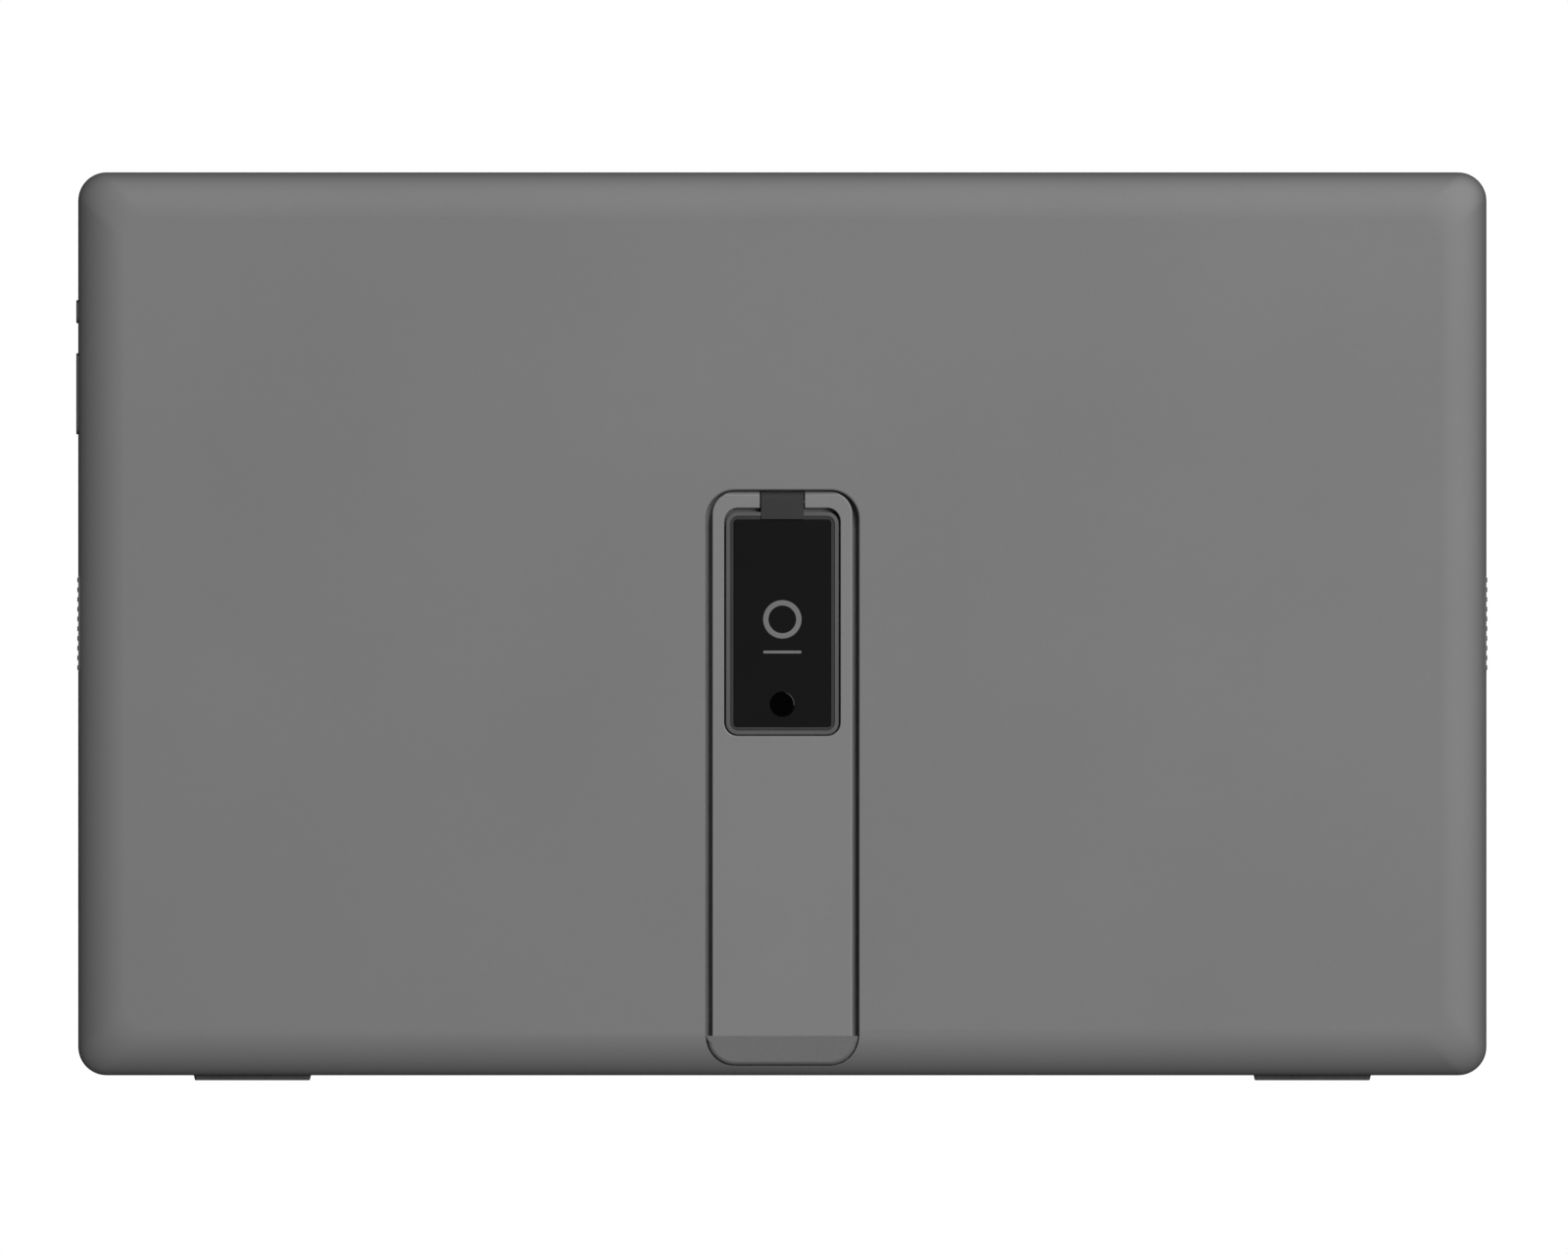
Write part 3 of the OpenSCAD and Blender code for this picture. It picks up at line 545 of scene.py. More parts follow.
    def face_outwards(self) -> "Workpiece":
        """Turns every face outwards.

        Returns:
            The piece itself.
        """
        with self.opened(Pick.FACE):
            bpy.ops.mesh.select_all(action="SELECT")
            bpy.ops.mesh.normals_make_consistent(inside=False)
        return self

    def smooth(self, angle: float = 30.0) -> bpy.types.Object:
        """Finishes the piece: clean, closed and smooth wherever it is rounded.

        Args:
            angle: The angle in degrees above which an edge stays sharp.

        Returns:
            The finished object.
        """
        with self.opened(Pick.FACE):
            bpy.ops.mesh.select_all(action="SELECT")
            bpy.ops.mesh.remove_doubles(threshold=0.002 * MM)
        self.select()
        bpy.ops.object.shade_smooth_by_angle(angle=math.radians(angle))
        self._finish_with("WEIGHTED_NORMAL", keep_sharp=True, weight=80)
        return self.thing


def screw_holes(start: float, radius: float) -> List[Workpiece]:
    """Shapes the tools for the holes of the bracket's four screws.

    Args:
        start: Where the tools start along Y.
        radius: Their radius.

    Returns:
        The tools.
    """
    low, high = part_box("bracket_screws")
    head = 1.9 * MM
    return [Workpiece.rod("cut_screw_hole", (x, start, z), Axis.Y, radius, 4 * MM, 20)
            for x in (low.x + head, high.x - head) for z in (low.z + head, high.z - head)]


def ribbon_slot(start: float, end: float) -> Workpiece:
    """Shapes the tool for the slot that the camera's ribbon goes through.

    Args:
        start: Where the tool starts along Y.
        end: Where it ends along Y.

    Returns:
        The tool.
    """
    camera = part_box("camera_window")
    height = (camera[0].z + camera[1].z) / 2
    half = 4 * MM
    return Workpiece.plate("cut_ribbon_slot", (-8.2 * MM, start, height - half),
                           (-5.8 * MM, end, height + half), Axis.Y, 1.1 * MM, 5)


# ---------------------------------------------------------------- shared effects


def grey(level: float) -> Tone:
    """Gives the neutral colour of a display level from 0 to 255."""
    return rgb(level, level, level)


def rgb(red: float, green: float, blue: float) -> Tone:
    """Turns display levels into the linear colour that shaders take.

    Args:
        red: The red level, from 0 to 255.
        green: The green level.
        blue: The blue level.

    Returns:
        The colour, with full alpha.
    """
    def linear(level: float) -> float:
        """Undoes the display curve of one level."""
        share = level / 255
        return share / 12.92 if share <= 0.04045 else ((share + 0.055) / 1.055) ** 2.4
    return (linear(red), linear(green), linear(blue), 1.0)


class Layout:
    """A node tree that is being laid out."""

    def __init__(self, tree: bpy.types.NodeTree) -> None:
        """Starts with a tree.

        Args:
            tree: The tree.
        """
        self.tree = tree

    def node(self, kind: str, **settings: object) -> bpy.types.Node:
        """Adds a node.

        Args:
            kind: The node's type, without its ShaderNode prefix.
            settings: Its settings.

        Returns:
            The node.
        """
        made = self.tree.nodes.new(kind if kind.startswith("Node") else "ShaderNode" + kind)
        for key, value in settings.items():
            setattr(made, key, value)
        return made

    def feed(self, node: bpy.types.Node, **values: object) -> bpy.types.Node:
        """Sets or joins a node's inputs, an underscore in a name standing for a space.

        Args:
            node: The node.
            values: A number, colour or output socket for each input.

        Returns:
            The node.
        """
        for key, value in values.items():
            socket = node.inputs[key.replace("_", " ")]
            if isinstance(value, bpy.types.NodeSocket):
                self.tree.links.new(value, socket)
            else:
                socket.default_value = value
        return node

    def sum(self, operation: str, first: object, second: object = 0.0) -> bpy.types.NodeSocket:
        """Adds a math node.

        Args:
            operation: Its operation.
            first: The first number or output.
            second: The second number or output.

        Returns:
            Its output.
        """
        made = self.node("Math", operation=operation)
        for socket, value in zip(made.inputs, (first, second)):
            if isinstance(value, bpy.types.NodeSocket):
                self.tree.links.new(value, socket)
            else:
                socket.default_value = value
        return made.outputs[0]

    def noise(self, point: object, scale: object, detail: float = 2.0) -> bpy.types.NodeSocket:
        """Adds a noise texture.

        Args:
            point: The output with the point to read it at.
            scale: Its scale, as a number or an output.
            detail: Its detail.

        Returns:
            Its value.
        """
        made = self.feed(self.node("TexNoise"), Vector=point, Scale=scale, Detail=detail)
        return made.outputs["Fac"]

    def ramp(self, value: object, low: float, high: float) -> bpy.types.NodeSocket:
        """Stretches a value so that it goes from 0 to 1 between two limits.

        Args:
            value: The value.
            low: What becomes 0.
            high: What becomes 1.

        Returns:
            The stretched value.
        """
        made = self.node("MapRange", interpolation_type="SMOOTHSTEP")
        self.feed(made, Value=value, From_Min=low, From_Max=high)
        return made.outputs["Result"]


class Effects:
    """The node groups that more than one finish uses, each built once."""

    def __init__(self) -> None:
        """Builds the groups."""
        self.grain = self._grain()
        self.handling = self._handling()
        self.brushing = self._brushing()
        self.drift = self._drift()
        self.weave = self._weave()
        self.tracks = self._tracks()

    @staticmethod
    def _started(name: str, inputs: Dict[str, float], outputs: Dict[str, str]
                 ) -> Tuple[Layout, bpy.types.NodeSocket, bpy.types.Node, bpy.types.Node]:
        """Starts a group that reads a point and some numbers.

        Args:
            name: The group's name.
            inputs: The default of each number that it takes.
            outputs: The socket type of each output.

        Returns:
            The layout, the point, the group's inputs and its outputs.
        """
        tree = bpy.data.node_groups.new(name, "ShaderNodeTree")
        tree.interface.new_socket("Point", in_out="INPUT", socket_type="NodeSocketVector")
        for key, value in inputs.items():
            made = tree.interface.new_socket(key, in_out="INPUT", socket_type="NodeSocketFloat")
            made.default_value = value
        for key, kind in outputs.items():
            tree.interface.new_socket(key, in_out="OUTPUT", socket_type=kind)
        layout = Layout(tree)
        source = layout.node("NodeGroupInput")
        sink = layout.node("NodeGroupOutput")
        return layout, source.outputs["Point"], source, sink

    def _grain(self) -> bpy.types.NodeTree:
        """Builds the fine spark-eroded grain of a mould: a height, and a mask of its pits that
        finishes darken as painted shade.

        Returns:
            The group.
        """
        layout, point, source, sink = self._started(
            "mould_grain", {"Scale": 2400.0, "Pits": 0.5},
            {"Height": "NodeSocketFloat", "Pit": "NodeSocketFloat"})
        fine = layout.noise(point, source.outputs["Scale"], 3.0)
        cell = layout.feed(layout.node("TexVoronoi"), Vector=point,
                           Scale=layout.sum("MULTIPLY", source.outputs["Scale"], 0.6))
        pit = layout.ramp(cell.outputs["Distance"], 0.05, 0.55)
        deep = layout.sum("MULTIPLY", pit, source.outputs["Pits"])
        height = layout.sum("ADD", layout.sum("MULTIPLY", fine, 0.6), deep)
        layout.feed(sink, Height=height, Pit=layout.sum("SUBTRACT", 1.0, pit))
        return layout.tree

    def _handling(self) -> bpy.types.NodeTree:
        """Builds the faint dull and shiny patches that hands leave, as a roughness.

        Returns:
            The group.
        """
        layout, point, source, sink = self._started(
            "handling_marks", {"Roughness": 0.5, "Spread": 0.08, "Scale": 18.0},
            {"Roughness": "NodeSocketFloat"})
        wide = layout.noise(point, source.outputs["Scale"], 4.0)
        close = layout.noise(point, layout.sum("MULTIPLY", source.outputs["Scale"], 14.0), 2.0)
        both = layout.sum("ADD", layout.sum("MULTIPLY", wide, 0.7),
                          layout.sum("MULTIPLY", close, 0.3))
        shift = layout.sum("MULTIPLY", layout.sum("SUBTRACT", both, 0.5),
                           layout.sum("MULTIPLY", source.outputs["Spread"], 2.0))
        layout.feed(sink, Roughness=layout.sum("ADD", source.outputs["Roughness"], shift))
        return layout.tree

    def _brushing(self) -> bpy.types.NodeTree:
        """Builds the fine lines of rolled or brushed metal, which run along X.

        Returns:
            The group.
        """
        layout, point, source, sink = self._started(
            "brushed_lines", {"Scale": 1500.0, "Stretch": 30.0},
            {"Height": "NodeSocketFloat", "Shade": "NodeSocketFloat"})
        parts = layout.feed(layout.node("SeparateXYZ"), Vector=point)
        squeezed = layout.sum("DIVIDE", parts.outputs["X"], source.outputs["Stretch"])
        lines = layout.feed(layout.node("CombineXYZ"), X=squeezed, Y=parts.outputs["Y"],
                            Z=parts.outputs["Z"]).outputs["Vector"]
        height = layout.noise(lines, source.outputs["Scale"], 3.0)
        shade = layout.noise(lines, layout.sum("MULTIPLY", source.outputs["Scale"], 0.2), 1.0)
        layout.feed(sink, Height=height, Shade=layout.ramp(shade, 0.3, 0.7))
        return layout.tree

    def _drift(self) -> bpy.types.NodeTree:
        """Builds the slow drift of a moulding or a sheet between two tones.

        Returns:
            The group.
        """
        layout, point, source, sink = self._started(
            "tone_drift", {"Scale": 9.0, "Speck": 0.15}, {"Amount": "NodeSocketFloat"})
        slow = layout.ramp(layout.noise(point, source.outputs["Scale"], 2.0), 0.3, 0.7)
        speck = layout.noise(point, layout.sum("MULTIPLY", source.outputs["Scale"], 260.0), 2.0)
        fleck = layout.sum("MULTIPLY", layout.ramp(speck, 0.45, 0.75), source.outputs["Speck"])
        mixed = layout.sum("ADD", layout.sum("MULTIPLY", slow, 0.85), fleck)
        layout.feed(sink, Amount=layout.sum("MINIMUM", mixed, 1.0))
        return layout.tree

    def _weave(self) -> bpy.types.NodeTree:
        """Builds a plain weave of fine threads across Y and Z.

        Returns:
            The group.
        """
        layout, point, source, sink = self._started(
            "plain_weave", {"Pitch": 0.00035},
            {"Height": "NodeSocketFloat", "Thread": "NodeSocketFloat"})
        parts = layout.feed(layout.node("SeparateXYZ"), Vector=point)
        waves = []
        for axis in ("Y", "Z"):
            turn = layout.sum("MULTIPLY", layout.sum(
                "DIVIDE", parts.outputs[axis], source.outputs["Pitch"]), math.pi)
            waves.append(layout.sum("ABSOLUTE", layout.sum("SINE", turn)))
        high = layout.sum("MAXIMUM", waves[0], waves[1])
        layout.feed(sink, Height=high, Thread=layout.ramp(high, 0.35, 0.8))
        return layout.tree

    def _tracks(self) -> bpy.types.NodeTree:
        """Builds the copper tracks and pads under a circuit board's varnish.

        Returns:
            The group.
        """
        layout, point, source, sink = self._started(
            "copper_tracks", {"Pitch": 0.0012},
            {"Track": "NodeSocketFloat", "Pad": "NodeSocketFloat"})
        parts = layout.feed(layout.node("SeparateXYZ"), Vector=point)
        flat = layout.feed(layout.node("CombineXYZ"), X=parts.outputs["X"],
                           Y=parts.outputs["Z"]).outputs["Vector"]
        count = layout.sum("DIVIDE", 1.0, source.outputs["Pitch"])
        patch = layout.feed(layout.node("TexVoronoi", distance="CHEBYCHEV"), Vector=flat,
                            Scale=layout.sum("MULTIPLY", count, 0.12))
        swap = layout.ramp(layout.noise(patch.outputs["Position"], 300.0, 0.0), 0.45, 0.55)
        turned = layout.node("Mix", data_type="FLOAT")
        layout.tree.links.new(swap, turned.inputs[0])
        layout.tree.links.new(parts.outputs["X"], turned.inputs[2])
        layout.tree.links.new(parts.outputs["Z"], turned.inputs[3])
        wave = layout.sum("SINE", layout.sum(
            "MULTIPLY", layout.sum("MULTIPLY", turned.outputs[0], count), math.tau))
        dots = layout.feed(layout.node("TexVoronoi"), Vector=flat,
                           Scale=layout.sum("MULTIPLY", count, 0.35))
        layout.feed(sink, Track=layout.ramp(wave, 0.55, 0.75),
                    Pad=layout.ramp(layout.sum("SUBTRACT", 0.3, dots.outputs["Distance"]),
                                    0.0, 0.05))
        return layout.tree


# ---------------------------------------------------------------- finishes


class Surface(Layout):
    """A material that is being laid out round one shader."""

    def __init__(self, name: str) -> None:
        """Starts a material.

        Args:
            name: Its name.
        """
        self.material = bpy.data.materials.new(name)
        self.material.use_nodes = True
        super().__init__(self.material.node_tree)
        self.tree.nodes.clear()
        self.shader = self.node("BsdfPrincipled")
        self.feed(self.node("OutputMaterial"), Surface=self.shader.outputs["BSDF"])
        self.point = self.node("TexCoord").outputs["Object"]

    def effect(self, tree: bpy.types.NodeTree, **values: object) -> bpy.types.Node:
        """Places a shared effect.

        Args:
            tree: The effect's group.
            values: Its inputs.

        Returns:
            The group's node.
        """
        made = self.node("Group")
        made.node_tree = tree
        return self.feed(made, Point=self.point, **values)

    def blend(self, amount: object, first: object, second: object) -> bpy.types.NodeSocket:
        """Mixes two colours.

        Args:
            amount: The share of the second.
            first: The first colour or output.
            second: The second colour or output.

        Returns:
            The mixed colour.
        """
        made = self.node("Mix", data_type="RGBA")
        for index, value in ((0, amount), (6, first), (7, second)):
            if isinstance(value, bpy.types.NodeSocket):
                self.tree.links.new(value, made.inputs[index])
            else:
                made.inputs[index].default_value = value
        return made.outputs[2]

    def bump(self, height: object, distance: float, strength: float = 1.0) -> None:
        """Gives the shader a bumped normal.

        Args:
            height: The output with the height.
            distance: How deep the bumps are.
            strength: How strongly they show.
        """
        made = self.feed(self.node("Bump"), Height=height, Distance=distance,
                         Strength=strength)
        self.feed(self.shader, Normal=made.outputs["Normal"])


@dataclass(frozen=True)
class Finish:
    """What every finish has: a name, two tones that it drifts between, and a roughness."""

    name: str
    tone: Tone
    drift_tone: Tone
    roughness: float = 0.5
    spread: float = 0.08
    patch: float = 9.0

    def start(self, effects: Effects) -> Tuple[Surface, bpy.types.NodeSocket]:
        """Lays out what all finishes share.

        Args:
            effects: The shared effects.

        Returns:
            The surface, and its drifting colour.
        """
        surface = Surface(self.name)
        drift = surface.effect(effects.drift, Scale=self.patch)
        marks = surface.effect(effects.handling, Roughness=self.roughness,
                               Spread=self.spread, Scale=2 * self.patch)
        surface.feed(surface.shader, Roughness=marks.outputs["Roughness"])
        colour = surface.blend(drift.outputs["Amount"], self.tone, self.drift_tone)
        surface.feed(surface.shader, Base_Color=colour)
        return surface, colour

    def material(self, effects: Effects) -> bpy.types.Material:
        """Makes the material.

        Args:
            effects: The shared effects.

        Returns:
            The material.
        """
        raise NotImplementedError


@dataclass(frozen=True)
class MouldedPlastic(Finish):
    """Moulded or painted plastic with a fine grain, whose pits get painted shade."""

    grain: float = 2400.0
    depth: float = 0.02 * MM
    # How dark the grain's pits are painted: painted shade in the pits.
    pit_painted_shade: float = 0.0
    specular: float = 0.5
    sheen: float = 0.0
    flake: float = 0.0

    def material(self, effects: Effects) -> bpy.types.Material:
        """Makes the material.

        Args:
            effects: The shared effects.

        Returns:
            The material.
        """
        surface, colour = self.start(effects)
        grain = surface.effect(effects.grain, Scale=self.grain)
        # Darkens the colour in the grain's pits towards black: painted shade.
        dark = surface.sum("MULTIPLY", grain.outputs["Pit"], self.pit_painted_shade)
        surface.feed(surface.shader, Base_Color=surface.blend(dark, colour, grey(0)),
                     Specular_IOR_Level=self.specular, Sheen_Weight=self.sheen,
                     Metallic=self.flake)
        surface.bump(grain.outputs["Height"], self.depth)
        return surface.material


@dataclass(frozen=True)
class Metal(Finish):
    """Rolled, brushed or plated metal."""

    lines: float = 1500.0
    depth: float = 0.004 * MM
    stretch: float = 30.0

    def material(self, effects: Effects) -> bpy.types.Material:
        """Makes the material.

        Args:
            effects: The shared effects.

        Returns:
            The material.
        """
        surface, colour = self.start(effects)
        lines = surface.effect(effects.brushing, Scale=self.lines, Stretch=self.stretch)
        share = surface.sum("MULTIPLY", lines.outputs["Shade"], 0.25)
        surface.feed(surface.shader, Base_Color=surface.blend(share, colour, self.drift_tone),
                     Metallic=1.0)
        surface.bump(lines.outputs["Height"], self.depth)
        return surface.material


@dataclass(frozen=True)
class ScreenGlass(Finish):
    """Printed cover glass: a black border, the faintly blue picture area and a lens spot."""

    area_tone: Tone = (0.006, 0.008, 0.012, 1.0)
    spot_tone: Tone = (0.012, 0.016, 0.035, 1.0)
    area_low: Point = (0.0, 0.0, 0.0)
    area_high: Point = (0.0, 0.0, 0.0)
    spot: Point = (0.0, 0.0, 0.0)
    spot_radius: float = 1.6 * MM

    def _inside(self, surface: Surface, output: bpy.types.NodeSocket, low: float,
                high: float) -> bpy.types.NodeSocket:
        """Masks a span along one axis.

        Args:
            surface: The surface.
            output: The coordinate.
            low: The span's start.
            high: The span's end.

        Returns:
            A mask that is 1 inside the span.
        """
        away = surface.sum("ABSOLUTE", surface.sum("SUBTRACT", output, (low + high) / 2))
        return surface.sum("LESS_THAN", away, (high - low) / 2)

    def material(self, effects: Effects) -> bpy.types.Material:
        """Makes the material.

        Args:
            effects: The shared effects.

        Returns:
            The material.
        """
        surface, colour = self.start(effects)
        parts = surface.feed(surface.node("SeparateXYZ"), Vector=surface.point)
        across = self._inside(surface, parts.outputs["X"], self.area_low[0], self.area_high[0])
        up = self._inside(surface, parts.outputs["Z"], self.area_low[2], self.area_high[2])
        area = surface.sum("MULTIPLY", across, up)
        tone = surface.blend(area, colour, self.area_tone)
        legs = [surface.sum("POWER", surface.sum("SUBTRACT", parts.outputs[axis], place), 2.0)
                for axis, place in (("X", self.spot[0]), ("Z", self.spot[2]))]
        gap = surface.sum("SQRT", surface.sum("ADD", legs[0], legs[1]))
        tone = surface.blend(surface.sum("LESS_THAN", gap, self.spot_radius), tone,
                             self.spot_tone)
        surface.feed(surface.shader, Base_Color=tone, IOR=1.5, Coat_Weight=0.6,
                     Coat_Roughness=0.03)
        return surface.material


@dataclass(frozen=True)
class DarkGlass(Finish):
    """A small dark lens or window with a coated face."""

    coat: float = 0.8
    specular: float = 0.5

    def material(self, effects: Effects) -> bpy.types.Material:
        """Makes the material.

        Args:
            effects: The shared effects.

        Returns:
            The material.
        """
        surface, colour = self.start(effects)
        surface.feed(surface.shader, Base_Color=colour, Coat_Weight=self.coat,
                     Coat_Roughness=0.05, IOR=1.5, Specular_IOR_Level=self.specular)
        return surface.material


@dataclass(frozen=True)
class Sheet(Finish):
    """A diffusing film, a clear guide or a foil, with a light it lets through."""

    clear: float = 0.0
    metallic: float = 0.0
    crease: float = 120.0
    depth: float = 0.03 * MM

    def material(self, effects: Effects) -> bpy.types.Material:
        """Makes the material.

        Args:
            effects: The shared effects.

        Returns:
            The material.
        """
        surface, colour = self.start(effects)
        surface.feed(surface.shader, Base_Color=colour, Metallic=self.metallic,
                     Transmission_Weight=self.clear, IOR=1.49)
        surface.bump(surface.noise(surface.point, self.crease, 3.0), self.depth)
        return surface.material


@dataclass(frozen=True)
class Laminate(Finish):
    """Circuit board or ribbon: a varnish over copper tracks and bright pads."""

    copper: Tone = (0.25, 0.12, 0.03, 1.0)
    pad: Tone = (0.6, 0.45, 0.15, 1.0)
    pitch: float = 1.2 * MM
    track_share: float = 0.35

    def material(self, effects: Effects) -> bpy.types.Material:
        """Makes the material.

        Args:
            effects: The shared effects.

        Returns:
            The material.
        """
        surface, colour = self.start(effects)
        tracks = surface.effect(effects.tracks, Pitch=self.pitch)
        share = surface.sum("MULTIPLY", tracks.outputs["Track"], self.track_share)
        tone = surface.blend(share, colour, self.copper)
        surface.feed(surface.shader, Metallic=tracks.outputs["Pad"],
                     Base_Color=surface.blend(tracks.outputs["Pad"], tone, self.pad))
        surface.bump(tracks.outputs["Track"], 0.03 * MM)
        return surface.material


@dataclass(frozen=True)
class Gauze(Finish):
    """The fine woven gauze behind the speaker grilles, with painted shade between its threads."""

    pitch: float = 0.35 * MM

    def material(self, effects: Effects) -> bpy.types.Material:
        """Makes the material.

        Args:
            effects: The shared effects.

        Returns:
            The material.
        """
        surface, colour = self.start(effects)
        weave = surface.effect(effects.weave, Pitch=self.pitch)
        # Between the threads the colour is near black: painted shade in the openings of the
        # weave.
        surface.feed(surface.shader,
                     Base_Color=surface.blend(weave.outputs["Thread"], grey(2), colour))
        surface.bump(weave.outputs["Height"], 0.08 * MM)
        return surface.material


PAINT = MouldedPlastic("slate_paint", grey(138), grey(136), 0.68, 0.02, 7.0, 2600.0,
                       0.004 * MM, 0.03, 0.3, 0.0, 0.7)
# A lighter copy of the leg's paint for its side bevels: a painted highlight.
LEG_BEVEL_HIGHLIGHT = MouldedPlastic("leg_bevel_painted_highlight", grey(152), grey(149), 0.66, 0.02, 11.0, 2600.0,
                            0.004 * MM, 0.03, 0.3, 0.0, 0.5)
LEG_PAINT = MouldedPlastic("leg_paint", grey(139), grey(137), 0.66, 0.02, 11.0, 2600.0,
                           0.004 * MM, 0.03, 0.3, 0.0, 0.68)
# The well's floor: the shell's own grey paint, but lighter and without flake, as painted light
# that brightens the shaded gap round the leg.
WELL_FLOOR_PAINTED_LIGHT = MouldedPlastic("well_floor_paint_with_painted_light", grey(150), grey(144), 0.6, 0.06, 20.0, 2600.0,
                             0.008 * MM, 0.06, 0.15)
RIDGE_GREY = MouldedPlastic("bracket_ridge", grey(98), grey(93), 0.55, 0.05, 30.0, 3200.0,
                            0.004 * MM, 0.03, 0.15)
FRAME_BLACK = MouldedPlastic("frame_black", grey(34), grey(30), 0.45, 0.08, 14.0, 3000.0,
                             0.01 * MM, 0.1, 0.4)
BRACKET_GREY = MouldedPlastic("bracket_grey", grey(62), grey(58), 0.55, 0.06, 30.0, 3200.0,
                              0.006 * MM, 0.05, 0.12)
PLATE_BLACK = MouldedPlastic("plate_black", grey(18), grey(15), 0.48, 0.04, 40.0, 3400.0,
                             0.002 * MM, 0.02, 0.06)
MARK_GREY = MouldedPlastic("mark_grey", grey(126), grey(120), 0.5, 0.06, 60.0, 4000.0,
                           0.003 * MM, 0.03, 0.12)
KEY_GREY = MouldedPlastic("key_grey", grey(66), grey(60), 0.42, 0.08, 60.0, 3400.0,
                          0.008 * MM, 0.08, 0.4)
GRILLE_GREY = MouldedPlastic("grille_grey", grey(96), grey(88), 0.5, 0.06, 60.0, 3000.0,
                             0.012 * MM, 0.1, 0.4)
FOOT_RUBBER = MouldedPlastic("foot_rubber", grey(92), grey(78), 0.78, 0.1, 60.0, 1900.0,
                             0.03 * MM, 0.2, 0.25, 0.15)
BOOT_RUBBER = MouldedPlastic("boot_rubber", grey(127), grey(123), 0.74, 0.08, 40.0, 2100.0,
                             0.015 * MM, 0.08, 0.25, 0.1)
INNER_PLASTIC = MouldedPlastic("inner_plastic", grey(40), grey(33), 0.5, 0.1, 30.0)
CHIP_RESIN = MouldedPlastic("chip_resin", grey(44), grey(36), 0.55, 0.1, 80.0, 3600.0)
TONGUE_PLASTIC = MouldedPlastic("tongue_plastic", grey(36), grey(28), 0.4, 0.08, 90.0)
CONE_PAPER = MouldedPlastic("cone_paper", grey(70), grey(56), 0.85, 0.1, 60.0, 1400.0,
                            0.05 * MM, 0.3)
WIRE_SLEEVE = MouldedPlastic("wire_sleeve", rgb(150, 34, 30), rgb(122, 24, 24), 0.42, 0.08,
                             40.0)
TAPE_FOAM = MouldedPlastic("tape_foam", grey(215), grey(200), 0.8, 0.08, 30.0, 1500.0)
CAMERA_BLACK = MouldedPlastic("camera_black", grey(22), grey(16), 0.38, 0.1, 90.0)
GRAPHITE = Sheet("graphite_sheet", grey(74), grey(62), 0.42, 0.1, 30.0, 0.0, 0.4, 300.0)
POUCH = Sheet("battery_pouch", grey(92), grey(70), 0.36, 0.1, 14.0, 0.0, 0.55, 60.0, 0.1 * MM)
FILM = Sheet("diffuser_film", grey(236), grey(226), 0.55, 0.1, 8.0, 0.2)
GUIDE = Sheet("light_guide_acrylic", rgb(226, 238, 240), rgb(214, 230, 234), 0.12, 0.05, 8.0,
              0.7)
STEEL = Metal("rolled_steel", grey(190), grey(168), 0.34, 0.1, 16.0)
ALUMINIUM = Metal("mid_frame_aluminium", grey(200), grey(182), 0.4, 0.1, 10.0, 1200.0,
                  0.006 * MM, 40.0)
SCREW = Metal("screw_steel", grey(176), grey(140), 0.3, 0.12, 120.0, 4000.0, 0.003 * MM, 4.0)
# The hinge pin's steel is darkened: painted shade, so that no glints show in the notch beside the
# knuckle.
PIN_STEEL_PAINTED_SHADE = Metal("pin_steel_painted_shade", grey(96), grey(80), 0.26, 0.1, 80.0, 4000.0, 0.003 * MM, 12.0)
SOCKET = Metal("socket_nickel", grey(196), grey(168), 0.24, 0.1, 90.0, 3500.0, 0.003 * MM, 8.0)
CONTACT = Metal("contact_gold", rgb(224, 178, 92), rgb(198, 146, 66), 0.25, 0.08, 200.0)
PANEL = DarkGlass("panel_glass", grey(20), grey(14), 0.12, 0.05, 10.0)
LENS = DarkGlass("camera_window_glass", grey(3), grey(2), 0.08, 0.03, 60.0, 0.0, 0.1)
BOARD = Laminate("board_varnish", rgb(18, 62, 40), rgb(12, 48, 32), 0.4, 0.08, 20.0)
RIBBON = Laminate("ribbon_film", rgb(196, 116, 34), rgb(170, 92, 24), 0.35, 0.08, 20.0,
                  rgb(140, 74, 26), rgb(230, 190, 110), 0.8 * MM, 0.6)
STRIP = Laminate("led_strip_board", rgb(232, 226, 196), rgb(214, 204, 160), 0.45, 0.08, 20.0,
                 rgb(236, 200, 70), rgb(250, 224, 90), 3.0 * MM, 0.8)
GAUZE = Gauze("speaker_gauze", grey(52), grey(44), 0.6, 0.08, 60.0)


class Wardrobe:
    """Makes each finish once and puts it on pieces."""

    def __init__(self) -> None:
        """Starts with the shared effects and no materials."""
        self.effects = Effects()
        self.made: Dict[str, bpy.types.Material] = {}

    def dress(self, thing: bpy.types.Object, finish: Finish) -> None:
        """Gives an object a finish all over.

        Args:
            thing: The object.
            finish: The finish.
        """
        if not thing.material_slots:
            thing.data.materials.append(self.material(finish))
        for slot in thing.material_slots:
            slot.material = self.material(finish)

    def material(self, finish: Finish) -> bpy.types.Material:
        """Finds a finish's material, and makes it the first time.

        Args:
            finish: The finish.

        Returns:
            The material.
        """
        if finish.name not in self.made:
            self.made[finish.name] = finish.material(self.effects)
        return self.made[finish.name]

    def accent(self, thing: bpy.types.Object, finish: Finish, test: FaceTest) -> None:
        """Gives some faces of an object a finish of their own.

        Args:
            thing: The object.
            finish: The finish.
            test: The test that such a face's centre and normal pass.
        """
        thing.data.materials.append(self.material(finish))
        with Workpiece(thing).faces(test):
            thing.active_material_index = len(thing.material_slots) - 1
            bpy.ops.object.material_slot_assign()


# ---------------------------------------------------------------- sub-assemblies


@dataclass
class Piece:
    """A finished piece, and what the frame has to know about it."""

    thing: bpy.types.Object
    finish: Finish
    slot: str
    nodes: Tuple[str, ...] = ()
    body: Body = Body.SLATE
    accents: Tuple[Tuple[Finish, FaceTest], ...] = ()


